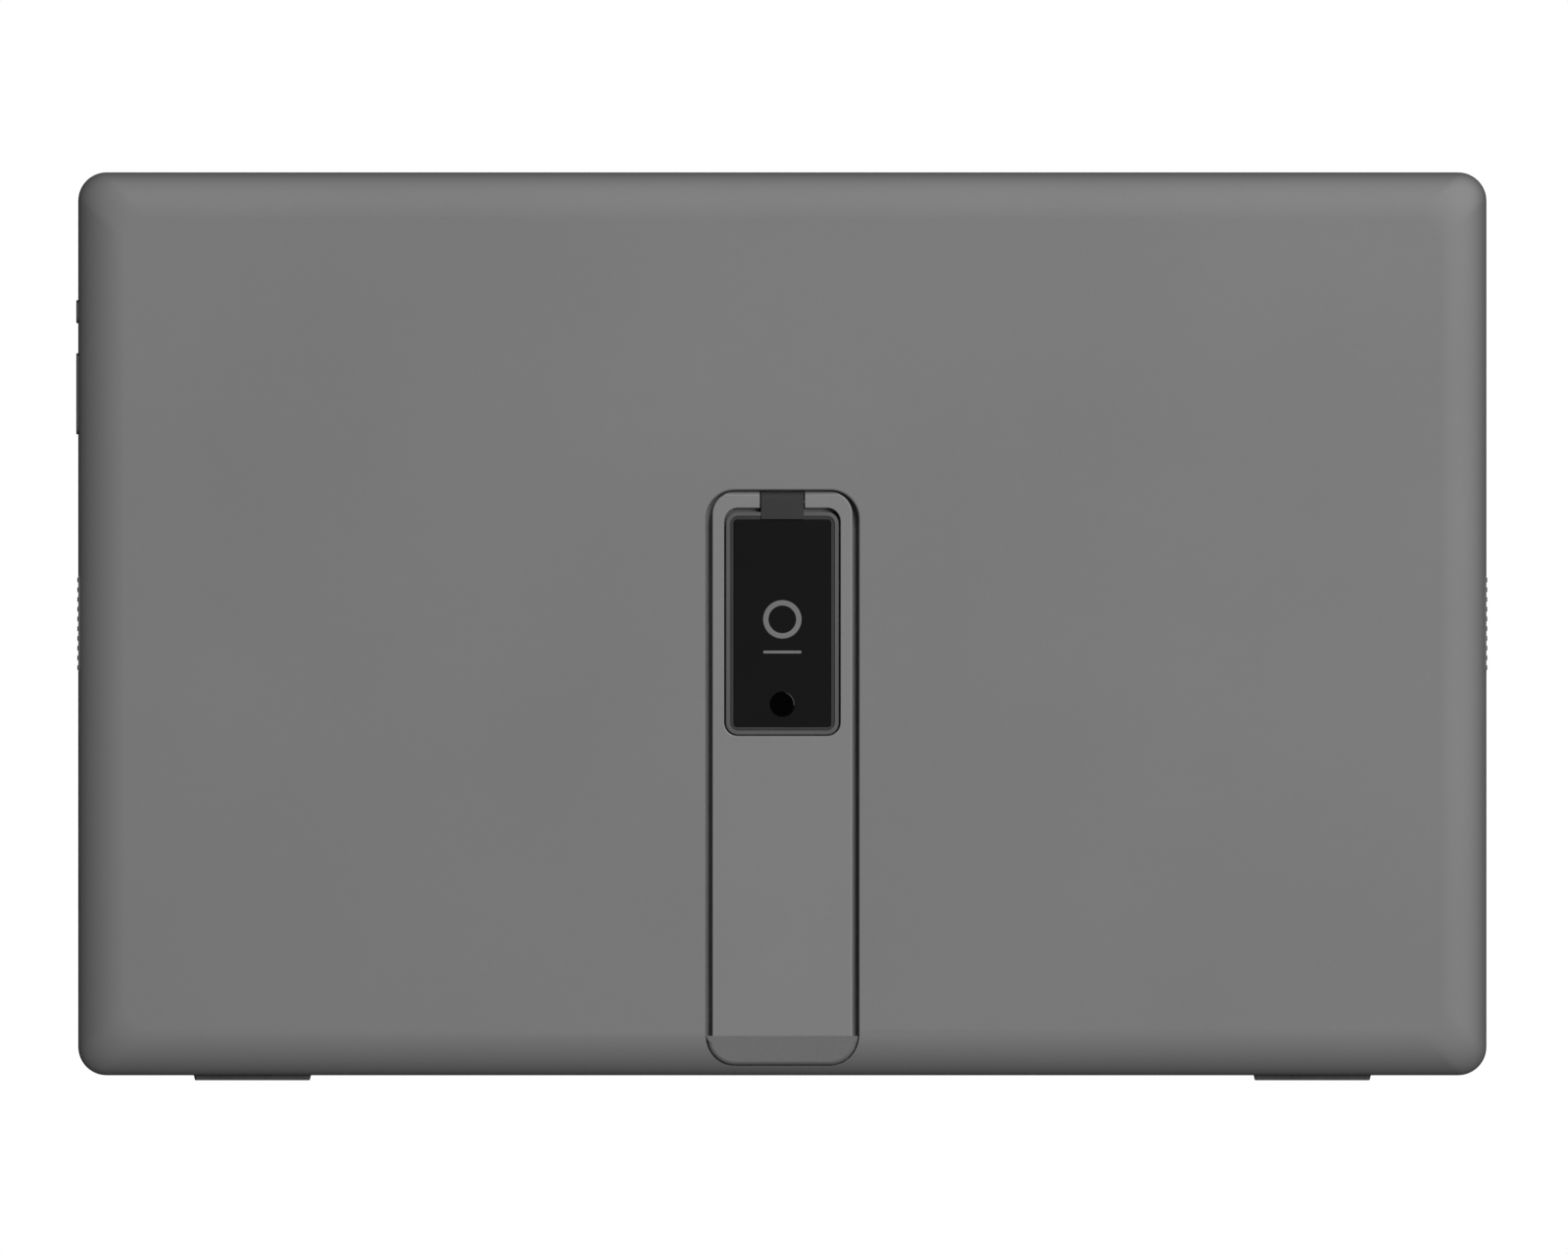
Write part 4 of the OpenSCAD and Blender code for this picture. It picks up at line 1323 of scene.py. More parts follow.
class SubAssembly:
    """Pieces that are built and dressed together."""

    def build(self) -> List[Piece]:
        """Builds the pieces' meshes.

        Returns:
            The pieces.
        """
        raise NotImplementedError

    def dress(self, pieces: Sequence[Piece], wardrobe: Wardrobe) -> None:
        """Gives each piece its finish and its place in the frame, and reports it.

        Args:
            pieces: The pieces.
            wardrobe: The finishes.
        """
        for piece in pieces:
            wardrobe.dress(piece.thing, piece.finish)
            for finish, test in piece.accents:
                wardrobe.accent(piece.thing, finish, test)
            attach(piece.thing, piece.body.value)
            if piece.nodes:
                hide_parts(*piece.nodes)
            LOG.info("%s: %d faces, finish %s, rides on %s", piece.thing.name,
                     len(piece.thing.data.polygons), piece.finish.name, piece.body.value)


@dataclass
class Casing(SubAssembly):
    """The hollow back shell with its well and openings, and the frame round the screen."""

    corner: float = 8.0 * MM
    border: float = 13.0 * MM
    border_depth: float = 5.0 * MM
    skin: float = 1.6 * MM
    wall: float = 1.8 * MM
    lip: float = 0.5 * MM
    well_gap: float = 0.25 * MM
    well_top_gap: float = 0.3 * MM
    well_corner: float = 8.15 * MM
    well_wall: float = 1.2 * MM
    key_wall: float = 2.8 * MM
    key_width: float = 3.3 * MM
    key_pocket: float = 5.6 * MM
    power_length: float = 7.2 * MM
    rocker_length: float = 23.5 * MM
    opening_gap: float = 0.18 * MM
    opening_lip: float = 0.25 * MM
    boss_spots: Tuple[Tuple[float, float], ...] = (
        (152 * MM, -106 * MM), (152 * MM, 104 * MM), (52 * MM, 82 * MM), (122 * MM, 1.6 * MM))
    ledge: float = 7.5 * MM

    def __post_init__(self) -> None:
        """Reads the places of the shell and of what goes through it."""
        self.low, self.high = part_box("rear_shell")
        self.middle = (self.low.z + self.high.z) / 2
        boot_low, boot_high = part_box("stand_boot")
        leg_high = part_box("stand_leg")[1]
        self.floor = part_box("hinge_bracket")[1].y
        self.well_low = Vector((boot_low.x - self.well_gap, self.low.y,
                                boot_low.z - self.well_gap))
        self.well_high = Vector((boot_high.x + self.well_gap, self.floor,
                                 leg_high.z + self.well_top_gap))

    def _hull(self, name: str, inset: float, back: float, rim: float, depth: float,
              steps: int) -> Workpiece:
        """Shapes a shallow tray form whose back rounds into its sides.

        Args:
            name: The form's name.
            inset: How far its sides are inside the outline.
            back: Where its flat back lies along Y.
            rim: Where its open side lies along Y.
            depth: The depth over which the border rounds.
            steps: How many rings make the border.

        Returns:
            The form.
        """
        hull = Workpiece.plate(
            name, (self.low.x + inset, back + depth, self.low.z + inset),
            (self.high.x - inset, rim, self.high.z - inset), Axis.Y, self.corner - inset, 12)
        return hull.grow(Way.BACK, depth, inset - self.border, steps)

    def _well(self, name: str, margin: float, top: float) -> Workpiece:
        """Shapes the stand's well as a solid, grown by a margin.

        Args:
            name: The solid's name.
            margin: How much larger it is on each side.
            top: Where its floor lies along Y.

        Returns:
            The solid.
        """
        return Workpiece.plate(
            name, (self.well_low.x - margin, self.low.y + self.lip, self.well_low.z - margin),
            (self.well_high.x + margin, top, self.well_high.z + margin), Axis.Y,
            self.well_corner + margin, 10)

    def _bosses(self, name: str, wide: float, low: float, reach: float,
                board_wide: float) -> Workpiece:
        """Makes a rod at each screw of the mid frame and of the main board.

        Args:
            name: The rods' name.
            wide: The radius at the mid frame's screws.
            low: Where the rods start along Y.
            reach: How far they pass the sheet or board that they hold.
            board_wide: The radius at the main board's screws.

        Returns:
            The rods as one workpiece.
        """
        mid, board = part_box("mid_frame")[0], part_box("main_board")
        length = mid.y + reach - low
        rods = [Workpiece.rod(name, (side * x, low, self.middle + z), Axis.Y, wide, length, 20)
                for side in (-1, 1) for x, z in self.boss_spots]
        length = board[0].y + reach - low
        rods += [Workpiece.rod(name, (x, low, z), Axis.Y, board_wide, length, 20)
                 for x in (board[0].x + 16 * MM, board[1].x - 4 * MM)
                 for z in (board[0].z + 4 * MM, board[1].z - 4 * MM)]
        return rods[0].gather(*rods[1:])

    def _side_opening(self, name: str, low: Sequence[float], high: Sequence[float],
                      radius: float, way: Way = Way.LEFT) -> Workpiece:
        """Shapes the tool for an opening in a side wall, with a small rounded lip.

        Args:
            name: The tool's name.
            low: The opening's lowest corner.
            high: Its highest corner.
            radius: Its corner radius.
            way: The side that it opens to.

        Returns:
            The tool.
        """
        first, last = list(low), list(high)
        if way is Way.LEFT:
            first[0] = self.low.x + self.opening_lip
        else:
            last[0] = self.high.x - self.opening_lip
        tool = Workpiece.plate(name, first, last, Axis.X, radius, 8)
        tool.grow(way, self.opening_lip, self.opening_lip, 3)
        return tool.grow(way, THROUGH, 0.0)

    def _openings(self) -> Workpiece:
        """Shapes all the tools that cut openings which don't meet, as one.

        Returns:
            The tools as one workpiece.
        """
        tools = [self._bosses("cut_screws", 0.9 * MM, self.low.y + self.skin, 1 * MM,
                              0.8 * MM)]
        inside = self.low.x + 4 * MM
        for node, radius in (("usb_c_shell_upper", 1.7 * MM), ("usb_c_shell_lower", 1.7 * MM),
                             ("mini_hdmi_shell", 0.6 * MM)):
            low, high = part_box(node)
            gap = Vector((0, self.opening_gap, self.opening_gap))
            high = high + gap
            high.x = inside
            tools.append(self._side_opening("cut_socket", low - gap, high, radius))
        line = (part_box("power_button")[0].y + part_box("power_button")[1].y) / 2
        for node, length in (("power_button", self.power_length),
                             ("volume_rocker", self.rocker_length)):
            low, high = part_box(node)
            height = (low.z + high.z) / 2
            tools.append(self._side_opening(
                "cut_key", (0, line - self.key_width / 2, height - length / 2),
                (self.low.x + self.key_wall, line + self.key_width / 2, height + length / 2),
                self.key_width / 2 - 0.02 * MM))
        for way, node in ((Way.LEFT, "speaker_grille_left"), (Way.RIGHT, "speaker_grille_right")):
            low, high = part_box(node)
            gap = Vector((0.25, 0.05, 0.05)) * MM
            tools.append(self._side_opening("cut_grille", low - gap, high + gap, 2.0 * MM, way))
        for node in ("foot_left", "foot_right"):
            low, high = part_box(node)
            tools.append(Workpiece.plate(
                "cut_foot", (low.x, low.y, self.low.z - THROUGH), high, Axis.Z, 0.9 * MM, 5))
        tools += screw_holes(self.floor - THROUGH, 1.0 * MM)
        tools.append(ribbon_slot(self.floor - THROUGH, self.floor + 3 * MM))
        return tools[0].gather(*tools[1:])

    def rear_shell(self) -> bpy.types.Object:
        """Shapes the back shell.

        Returns:
            The finished object.
        """
        rim = 0.2 * MM
        shell = self._hull("slate_back_shell", 0.0, self.low.y, self.high.y - rim,
                           self.border_depth, 18)
        shell.frame_end(Way.BACK, 0.8 * MM).grow(Way.FRONT, rim, -rim, 2)
        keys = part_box("key_board")
        kept = self._well("kept_well", self.well_wall, self.floor + self.well_wall).gather(
            self._bosses("kept_bosses", 3 * MM, self.low.y + self.skin / 2, 0.0, 2.5 * MM),
            Workpiece.block(
                "kept_key_wall", (self.low.x - THROUGH, self.low.y, keys[0].z - 2 * MM),
                (self.low.x + self.key_wall, keys[1].y + 1 * MM, keys[1].z + 2 * MM)))
        cavity = self._hull("cut_cavity", self.wall, self.low.y + self.skin,
                            self.high.y + THROUGH, self.border_depth - self.skin, 8)
        cavity.combine(Join.CUT, kept)
        well = self._well("cut_well", 0.0, self.floor)
        well.grow(Way.BACK, self.lip, self.lip, 4).grow(Way.BACK, THROUGH, 0.0)
        line = (keys[0].y + keys[1].y) / 2
        pocket = Workpiece.block(
            "cut_key_pocket",
            (self.low.x + self.key_wall, line - self.key_pocket / 2,
             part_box("volume_rocker")[0].z - 1.1 * MM),
            (keys[0].x, line + self.key_pocket / 2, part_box("power_button")[1].z + 1.1 * MM))
        shell.combine(Join.CUT, cavity, well, self._openings(), pocket)
        return shell.smooth()

    def front_frame(self) -> bpy.types.Object:
        """Shapes the frame that the glass lies in, with the register that locates the shell.

        Returns:
            The finished object.
        """
        low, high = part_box("front_frame")
        glass_low, glass_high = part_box("cover_glass")
        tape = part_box("glass_tape")[0].y
        seam, edge, crown = self.high.y, 0.2 * MM, 0.4 * MM
        ring = Workpiece.plate("slate_front_frame", (low.x, seam + edge, low.z),
                               (high.x, high.y - crown, high.z), Axis.Y, self.corner, 12)
        ring.grow(Way.FRONT, crown, -crown, 4).grow(Way.BACK, edge, -edge, 2)
        gap = self.wall + 0.05 * MM
        lip = Workpiece.plate("register", (low.x + gap, low.y, low.z + gap),
                              (high.x - gap, seam + edge, high.z - gap), Axis.Y,
                              self.corner - self.wall, 8)
        pocket = Workpiece.plate("cut_glass", (glass_low.x - 0.1 * MM, tape,
                                               glass_low.z - 0.1 * MM),
                                 (glass_high.x + 0.1 * MM, high.y + THROUGH,
                                  glass_high.z + 0.1 * MM), Axis.Y, 6.3 * MM, 10)
        window = Workpiece.plate("cut_window", (glass_low.x + self.ledge, low.y - THROUGH,
                                                glass_low.z + self.ledge - 2 * MM),
                                 (glass_high.x - self.ledge, high.y + THROUGH,
                                  glass_high.z - self.ledge + 2 * MM), Axis.Y, 6.3 * MM, 8)
        inner = self.wall + 1 * MM
        hollow = Workpiece.plate("cut_register", (low.x + inner, low.y - THROUGH, low.z + inner),
                                 (high.x - inner, seam, high.z - inner), Axis.Y, 5.2 * MM, 8)
        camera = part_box("front_camera")
        radius = 2.3 * MM
        height = (camera[0].z + camera[1].z) / 2
        eye = Workpiece.rod("cut_camera_hole", (0, seam - THROUGH, height), Axis.Y, radius,
                            4 * MM, 32)
        ring.combine(Join.ADD, lip)
        ring.combine(Join.CUT, pocket, window, hollow, eye)
        return ring.smooth()

    def build(self) -> List[Piece]:
        """Builds the shell and the frame.

        Returns:
            The pieces.
        """
        return [
            # The well's floor faces get the lighter paint: painted light in the shaded gap round
            # the leg.
            Piece(self.rear_shell(), PAINT, "shell", ("rear_shell",), accents=((
                WELL_FLOOR_PAINTED_LIGHT, lambda centre, normal: abs(centre.y - self.floor) < CLOSE
                and normal.y < -0.9),)),
            Piece(self.front_frame(), FRAME_BLACK, "frame_plastic", ("front_frame",)),
        ]


@dataclass
class CoverGlass(SubAssembly):
    """The cover glass, whose front edge is ground round."""

    corner: float = 6.3 * MM
    edge: float = 0.4 * MM
    picture_inset: float = 2.0 * MM

    def build(self) -> List[Piece]:
        """Builds the glass and works out where its print leaves it clear.

        Returns:
            The pieces.
        """
        low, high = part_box("cover_glass")
        glass = Workpiece.plate("screen_cover_glass", low, (high.x, high.y - self.edge, high.z),
                                Axis.Y, self.corner, 12)
        glass.grow(Way.FRONT, self.edge, -self.edge, 5).frame_end(Way.FRONT, 0.3 * MM)
        panel_low, panel_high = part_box("lcd_cell")
        inset = Vector((1, 0, 1)) * self.picture_inset
        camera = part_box("front_camera")
        finish = ScreenGlass(
            "cover_glass_print", grey(9), grey(7), 0.06, 0.03, 6.0,
            area_low=tuple(panel_low + inset), area_high=tuple(panel_high - inset),
            spot=(0.0, 0.0, (camera[0].z + camera[1].z) / 2))
        return [Piece(glass.smooth(), finish, "cover_glass", ("cover_glass",))]


@dataclass
class Feet(SubAssembly):
    """The two rubber feet that the slate stands on."""

    corner: float = 0.9 * MM
    tip: float = 0.4 * MM
    draft: float = 0.25 * MM
    recess: float = 0.8 * MM

    def foot(self, name: str, node: str) -> bpy.types.Object:
        """Shapes a foot: a straight root in the shell, a drafted body and a rounded tip.

        Args:
            name: The foot's name.
            node: The node that it stands for.

        Returns:
            The finished object.
        """
        low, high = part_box(node)
        skin = high.z - self.recess
        foot = Workpiece.plate(name, (low.x, low.y, skin), high, Axis.Z, self.corner, 6)
        foot.grow(Way.DOWN, skin - low.z - self.tip, -self.draft)
        foot.grow(Way.DOWN, self.tip, -self.tip, 4)
        return foot.frame_end(Way.DOWN, 0.3 * MM).smooth()

    def build(self) -> List[Piece]:
        """Builds both feet.

        Returns:
            The pieces.
        """
        return [Piece(self.foot(f"{side}_rubber_foot", f"foot_{side}"), FOOT_RUBBER, "rubber",
                      (f"foot_{side}",)) for side in ("left", "right")]


@dataclass
class SpeakerGrilles(SubAssembly):
    """The two ribbed grilles in the side walls."""

    ribs: int = 10
    pitch: float = 2.74 * MM
    proud: float = 0.25 * MM
    rib_depth: float = 0.6 * MM
    slot: float = 3.0 * MM

    def build(self) -> List[Piece]:
        """Builds the right grille and turns a copy of it over for the left side.

        Returns:
            The pieces.
        """
        low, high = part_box("speaker_grille_right")
        face = high.x - self.proud
        line, height = (low.y + high.y) / 2, (low.z + high.z) / 2
        edge = 0.2 * MM
        grille = Workpiece.plate("right_speaker_grille", low, (face - edge, high.y, high.z),
                                 Axis.X, (high.y - low.y) / 2 - 0.02 * MM, 10)
        grille.grow(Way.RIGHT, edge, -edge, 2)
        first = height - (self.ribs - 1) / 2 * self.pitch
        half = self.pitch / 4
        tool = Workpiece.block(
            "cut_slot", (low.x - THROUGH, line - self.slot / 2, first + half),
            (high.x + THROUGH, line + self.slot / 2, first + 3 * half))
        tool.repeated([(0, 0, k * self.pitch) for k in range(1, self.ribs - 1)])
        rib = Workpiece.block(
            "rib", (face - self.rib_depth, line - self.slot / 2, first - half),
            (high.x - 0.1 * MM, line + self.slot / 2, first + half))
        rib.grow(Way.RIGHT, 0.1 * MM, -0.15 * MM, 3)
        rib.repeated([(0, 0, k * self.pitch) for k in range(1, self.ribs)])
        grille.combine(Join.CUT, tool).combine(Join.ADD, rib)
        twin = grille.mirrored("left_speaker_grille")
        return [
            Piece(grille.smooth(), GRILLE_GREY, "grille", ("speaker_grille_right",)),
            Piece(twin.smooth(), GRILLE_GREY, "grille", ("speaker_grille_left",)),
        ]


@dataclass
class BadgeTray(SubAssembly):
    """The stand's fixed bracket with its knuckle, and the badge plate that lies in it."""

    corner: float = 3.3 * MM
    ridge: float = 1.075 * MM
    round: float = 0.15 * MM
    step: float = 0.4 * MM
    floor_thickness: float = 1.2 * MM
    seat: float = 1.6 * MM
    knuckle_width: float = 12.1 * MM
    knuckle_round: float = 2.0 * MM
    barrel: float = 1.0 * MM
    plate_corner: float = 1.0 * MM
    mark_radius: float = 5.4 * MM
    mark_band: float = 1.5 * MM
    mark_up: float = 30.25 * MM
    bar_drop: float = 9.2 * MM
    bar_size: Tuple[float, float] = (10.8 * MM, 0.8 * MM)

    def bracket(self) -> bpy.types.Object:
        """Shapes the tray with its two-step rim, the knuckle and the pin's bore.

        Returns:
            The finished object.
        """
        low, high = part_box("hinge_bracket")
        plate_low, plate_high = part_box("badge_plate")
        rim = plate_low.y - self.step
        wide = plate_high.x + 2 * self.ridge
        base = plate_low.z - 2 * self.ridge
        top = plate_high.z + 2 * self.ridge
        tray = Workpiece.plate("hinge_bracket_tray", (-wide, rim + self.round, base),
                               (wide, high.y, top), Axis.Y, self.corner, 10)
        tray.grow(Way.BACK, self.round, -self.round, 3)
        tray.terrace(Way.BACK, (
            (self.ridge - 2 * self.round, 0.0), (self.round, 0.08 * MM),
            (0.02 * MM, self.step - 0.08 * MM)))
        gap = Vector((1, 0, 1)) * 0.05 * MM
        seat = Workpiece.plate("cut_seat", plate_low - gap - Vector((0, self.step, 0)),
                               plate_high + gap, Axis.Y, self.plate_corner, 8)
        inset = Vector((self.seat, 0, self.seat))
        deep = Workpiece.plate(
            "cut_hollow", plate_low + inset,
            (plate_high.x - self.seat, high.y - self.floor_thickness,
             plate_high.z - self.seat), Axis.Y, self.plate_corner, 8)
        half = self.knuckle_width / 2
        knuckle = Workpiece.block("knuckle", (-half, low.y, plate_high.z + 0.05 * MM),
                                  (half, high.y, high.z))
        knuckle.round_edges(along_at(Axis.X, lambda m: m.y < low.y + CLOSE
                                     and m.z > high.z - CLOSE), self.knuckle_round, 10)
        knuckle.soften(0.2 * MM, 3)
        pin_low, pin_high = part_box("hinge_pin")
        middle = (pin_low + pin_high) / 2
        bore = Workpiece.rod("cut_bore", (-2 * half, middle.y, middle.z), Axis.X, self.barrel,
                             4 * half, 40)
        holes = screw_holes(high.y - 3 * MM, 1.1 * MM)
        holes.append(ribbon_slot(high.y - 3 * MM, high.y + THROUGH))
        tray.combine(Join.CUT, seat, deep)
        tray.combine(Join.ADD, knuckle)
        tray.combine(Join.CUT, bore, holes[0].gather(*holes[1:]))
        return tray.smooth()

    def on_ridge(self, centre: Vector, normal: Vector) -> bool:
        """Tells whether a face belongs to the raised ridge round the tray.

        Args:
            centre: The face's centre.
            normal: Its normal, which doesn't matter here.

        Returns:
            Whether it does.
        """
        low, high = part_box("badge_plate")
        reach = 2 * self.ridge + 0.1 * MM
        return (centre.y < low.y - 0.25 * MM and centre.z < high.z + reach
                and not (abs(centre.x) < self.knuckle_width / 2 and centre.z > high.z))

    def plate(self) -> bpy.types.Object:
        """Shapes the badge plate, with soft edges and the camera's hole.

        Returns:
            The finished object.
        """
        low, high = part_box("badge_plate")
        edge = 0.12 * MM
        plate = Workpiece.plate("black_badge_plate", (low.x, low.y + edge, low.z), high,
                                Axis.Y, self.plate_corner, 8)
        plate.grow(Way.BACK, edge, -edge, 3)
        flare = 0.04 * MM
        window_low, window_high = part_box("camera_window")
        middle = (window_low + window_high) / 2
        radius = (window_high.x - window_low.x) / 2 + 0.05 * MM
        hole = Workpiece.rod("cut_window_hole", (middle.x, low.y + flare, middle.z), Axis.Y,
                             radius, 3 * MM, 64)
        hole.grow(Way.BACK, flare, flare, 3).grow(Way.BACK, THROUGH, 0.0)
        return plate.combine(Join.CUT, hole).smooth()

    def window(self) -> bpy.types.Object:
        """Shapes the camera's window: a ground edge and a face let in by a hair.

        Returns:
            The finished object.
        """
        low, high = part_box("camera_window")
        middle = (low + high) / 2
        edge = 0.1 * MM
        glass = Workpiece.rod("camera_window_disc", (middle.x, low.y + edge, middle.z), Axis.Y,
                              (high.x - low.x) / 2, high.y - low.y - edge, 64)
        glass.grow(Way.BACK, edge, -edge, 2)
        return glass.terrace(Way.BACK, ((0.35 * MM, 0.0), (0.05 * MM, 0.06 * MM))).smooth()

    def mark(self) -> bpy.types.Object:
        """Shapes the plain raised mark: a flat ring over a thin bar.

        Returns:
            The finished object.
        """
        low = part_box("badge_plate")[0]
        proud, root = 0.07 * MM, 0.1 * MM
        height = low.z + self.mark_up
        depth = low.y - proud
        ring = Workpiece.rod("badge_mark", (0, depth + 0.03 * MM, height), Axis.Y,
                             self.mark_radius, proud + root, 96)
        ring.grow(Way.BACK, 0.03 * MM, -0.03 * MM, 2)
        inner = Workpiece.rod("cut_ring", (0, depth - THROUGH, height), Axis.Y,
                              self.mark_radius - self.mark_band, 3 * MM, 96)
        ring.combine(Join.CUT, inner)
        wide, tall = self.bar_size
        bar = Workpiece.plate(
            "bar", (-wide / 2, depth + 0.03 * MM, height - self.bar_drop - tall / 2),
            (wide / 2, low.y + root, height - self.bar_drop + tall / 2), Axis.Y,
            tall / 2 - 0.01 * MM, 6)
        bar.grow(Way.BACK, 0.03 * MM, -0.03 * MM, 2)
        return ring.gather(bar).smooth()

    def build(self) -> List[Piece]:
        """Builds the bracket, the plate, the camera's window and the mark.

        Returns:
            The pieces.
        """
        return [
            Piece(self.bracket(), BRACKET_GREY, "bracket", ("hinge_bracket",),
                  accents=((RIDGE_GREY, self.on_ridge),)),
            Piece(self.plate(), PLATE_BLACK, "badge", ("badge_plate",)),
            Piece(self.window(), LENS, "camera_window", ("camera_window",)),
            Piece(self.mark(), MARK_GREY, "badge"),
        ]


@dataclass
class Stand(SubAssembly):
    """The leg that folds out of the back, with the rubber boot on its end."""

    shoulder: float = 6.5 * MM
    bevel: float = 0.45 * MM
    top_round: float = 1.4 * MM
    top_facets: int = 5
    rail: float = 3.4 * MM
    window_height: float = 64.15 * MM
    window_corner: float = 3.8 * MM
    head: float = 4.65 * MM
    notch: float = 12.7 * MM
    pin: float = 0.75 * MM
    tongue_width: float = 26.0 * MM
    tongue_length: float = 3.69 * MM
    tongue_in: float = 1.5 * MM
    tongue_back: float = 0.4 * MM
    pocket_depth: float = 1.0 * MM
    pocket_edge: float = 4.0 * MM
    pocket_corner: float = 3.0 * MM
    pocket_span: Tuple[float, float] = (11.0 * MM, 37.0 * MM)
    pocket_pitch: float = 34.0 * MM
    boot_corner: float = 7.9 * MM
    boot_slope: float = 2.2 * MM
    boot_round: float = 1.3 * MM

    def __post_init__(self) -> None:
        """Reads where the leg and the boot are."""
        self.low, self.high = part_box("stand_leg")
        self.boot_low, self.boot_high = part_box("stand_boot")
        self.joint = self.boot_high.z

    def leg(self) -> bpy.types.Object:
        """Shapes the leg with its window, notch, bore, tongue and the pockets behind it.

        Returns:
            The finished object.
        """
        low, high, joint = self.low, self.high, self.joint
        leg = Workpiece.block("stand_leg_bar", (low.x, low.y, joint), high)
        leg.round_edges(along_at(Axis.Y, lambda m: m.z > high.z - CLOSE), self.shoulder, 12)
        leg.round_edges(lambda a, b: max(a.y, b.y) < low.y + CLOSE
                        and max(a.z, b.z) > joint + CLOSE, self.bevel, 5)
        for step in range(1, self.top_facets + 1):
            angle = math.pi / 2 * step / (self.top_facets + 1)
            slope = Vector((0, -math.sin(angle), math.cos(angle)))
            leg.trim(Vector((0, low.y + self.top_round, high.z - self.top_round))
                     + slope * self.top_round, slope)
        leg.round_edges(lambda a, b: min(a.y, b.y) > high.y - CLOSE
                        and max(a.z, b.z) > joint + CLOSE, 0.2 * MM, 2)
        half = self.tongue_width / 2
        leg.tongue(Way.DOWN, (-half, low.y + self.tongue_in, joint),
                   (half, high.y - self.tongue_back, joint), self.tongue_length)
        top = high.z - self.head
        edge = 0.22 * MM
        window = Workpiece.plate(
            "cut_leg_window", (low.x + self.rail, low.y + edge, top - self.window_height),
            (high.x - self.rail, high.y + THROUGH, top), Axis.Y, self.window_corner, 10)
        window.grow(Way.BACK, edge, edge, 3).grow(Way.BACK, THROUGH, 0.0)
        notch = Workpiece.block(
            "cut_notch", (-self.notch / 2, low.y + edge, top - THROUGH),
            (self.notch / 2, high.y + THROUGH, high.z + THROUGH))
        notch.grow(Way.BACK, edge, edge, 3).grow(Way.BACK, THROUGH, 0.0)
        pin_low, pin_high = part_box("hinge_pin")
        middle = (pin_low + pin_high) / 2
        bore = Workpiece.rod("cut_pin", (low.x - THROUGH, middle.y, middle.z), Axis.X, self.pin,
                             high.x - low.x + 2 * THROUGH, 40)
        pocket = Workpiece.plate(
            "cut_pocket", (low.x + self.pocket_edge, high.y - self.pocket_depth,
                           joint + self.pocket_span[0]),
            (high.x - self.pocket_edge, high.y + THROUGH, joint + self.pocket_span[1]), Axis.Y,
            self.pocket_corner, 6)
        pocket.repeated([(0, 0, self.pocket_pitch)])
        leg.combine(Join.CUT, window, notch, bore, pocket)
        return leg.smooth()

    def on_bevel(self, centre: Vector, normal: Vector) -> bool:
        """Tells whether a face belongs to the bevels along the leg's outer face, which get the
        painted highlight.
        """
        return (centre.y < self.low.y + self.bevel and -0.999 < normal.y < -0.1
                and centre.z < self.high.z - self.top_round)

    def boot(self) -> bpy.types.Object:
        """Shapes the boot: a sloping tread, a rounded end and the socket for the tongue.

        Returns:
            The finished object.
        """
        low, high = self.boot_low, self.boot_high
        boot = Workpiece.block("stand_rubber_boot", low, high)
        boot.round_edges(along_at(Axis.Y, lambda m: m.z < low.z + CLOSE), self.boot_corner, 12)
        drop = high.z - low.z
        boot.trim((0, low.y, high.z), (0, -drop, -self.boot_slope))
        boot.round_edges(
            lambda a, b: all(abs((p.y - low.y) * drop - (high.z - p.z) * self.boot_slope)
                             < CLOSE * drop for p in (a, b))
            and min(a.z, b.z) < high.z - 0.2 * MM, self.boot_round, 7)
        boot.round_edges(lambda a, b: min(a.y, b.y) > high.y - CLOSE
                         and min(a.z, b.z) < high.z - 0.2 * MM, 0.5 * MM, 4)
        half, slack = self.tongue_width / 2, 0.05 * MM
        socket = Workpiece.block(
            "cut_tongue", (-half - slack, self.low.y + self.tongue_in - slack,
                           high.z - self.tongue_length - slack),
            (half + slack, self.high.y - self.tongue_back + slack, high.z + THROUGH))
        return boot.combine(Join.CUT, socket).smooth()

    def build(self) -> List[Piece]:
        """Builds the leg and the boot.

        Returns:
            The pieces.
        """
        return [
            # The leg's side bevels are painted lighter, as a painted highlight.
            Piece(self.leg(), LEG_PAINT, "stand", ("stand_leg",), Body.STAND,
                  ((LEG_BEVEL_HIGHLIGHT, self.on_bevel),)),
            Piece(self.boot(), BOOT_RUBBER, "boot", ("stand_boot",), Body.STAND),
        ]


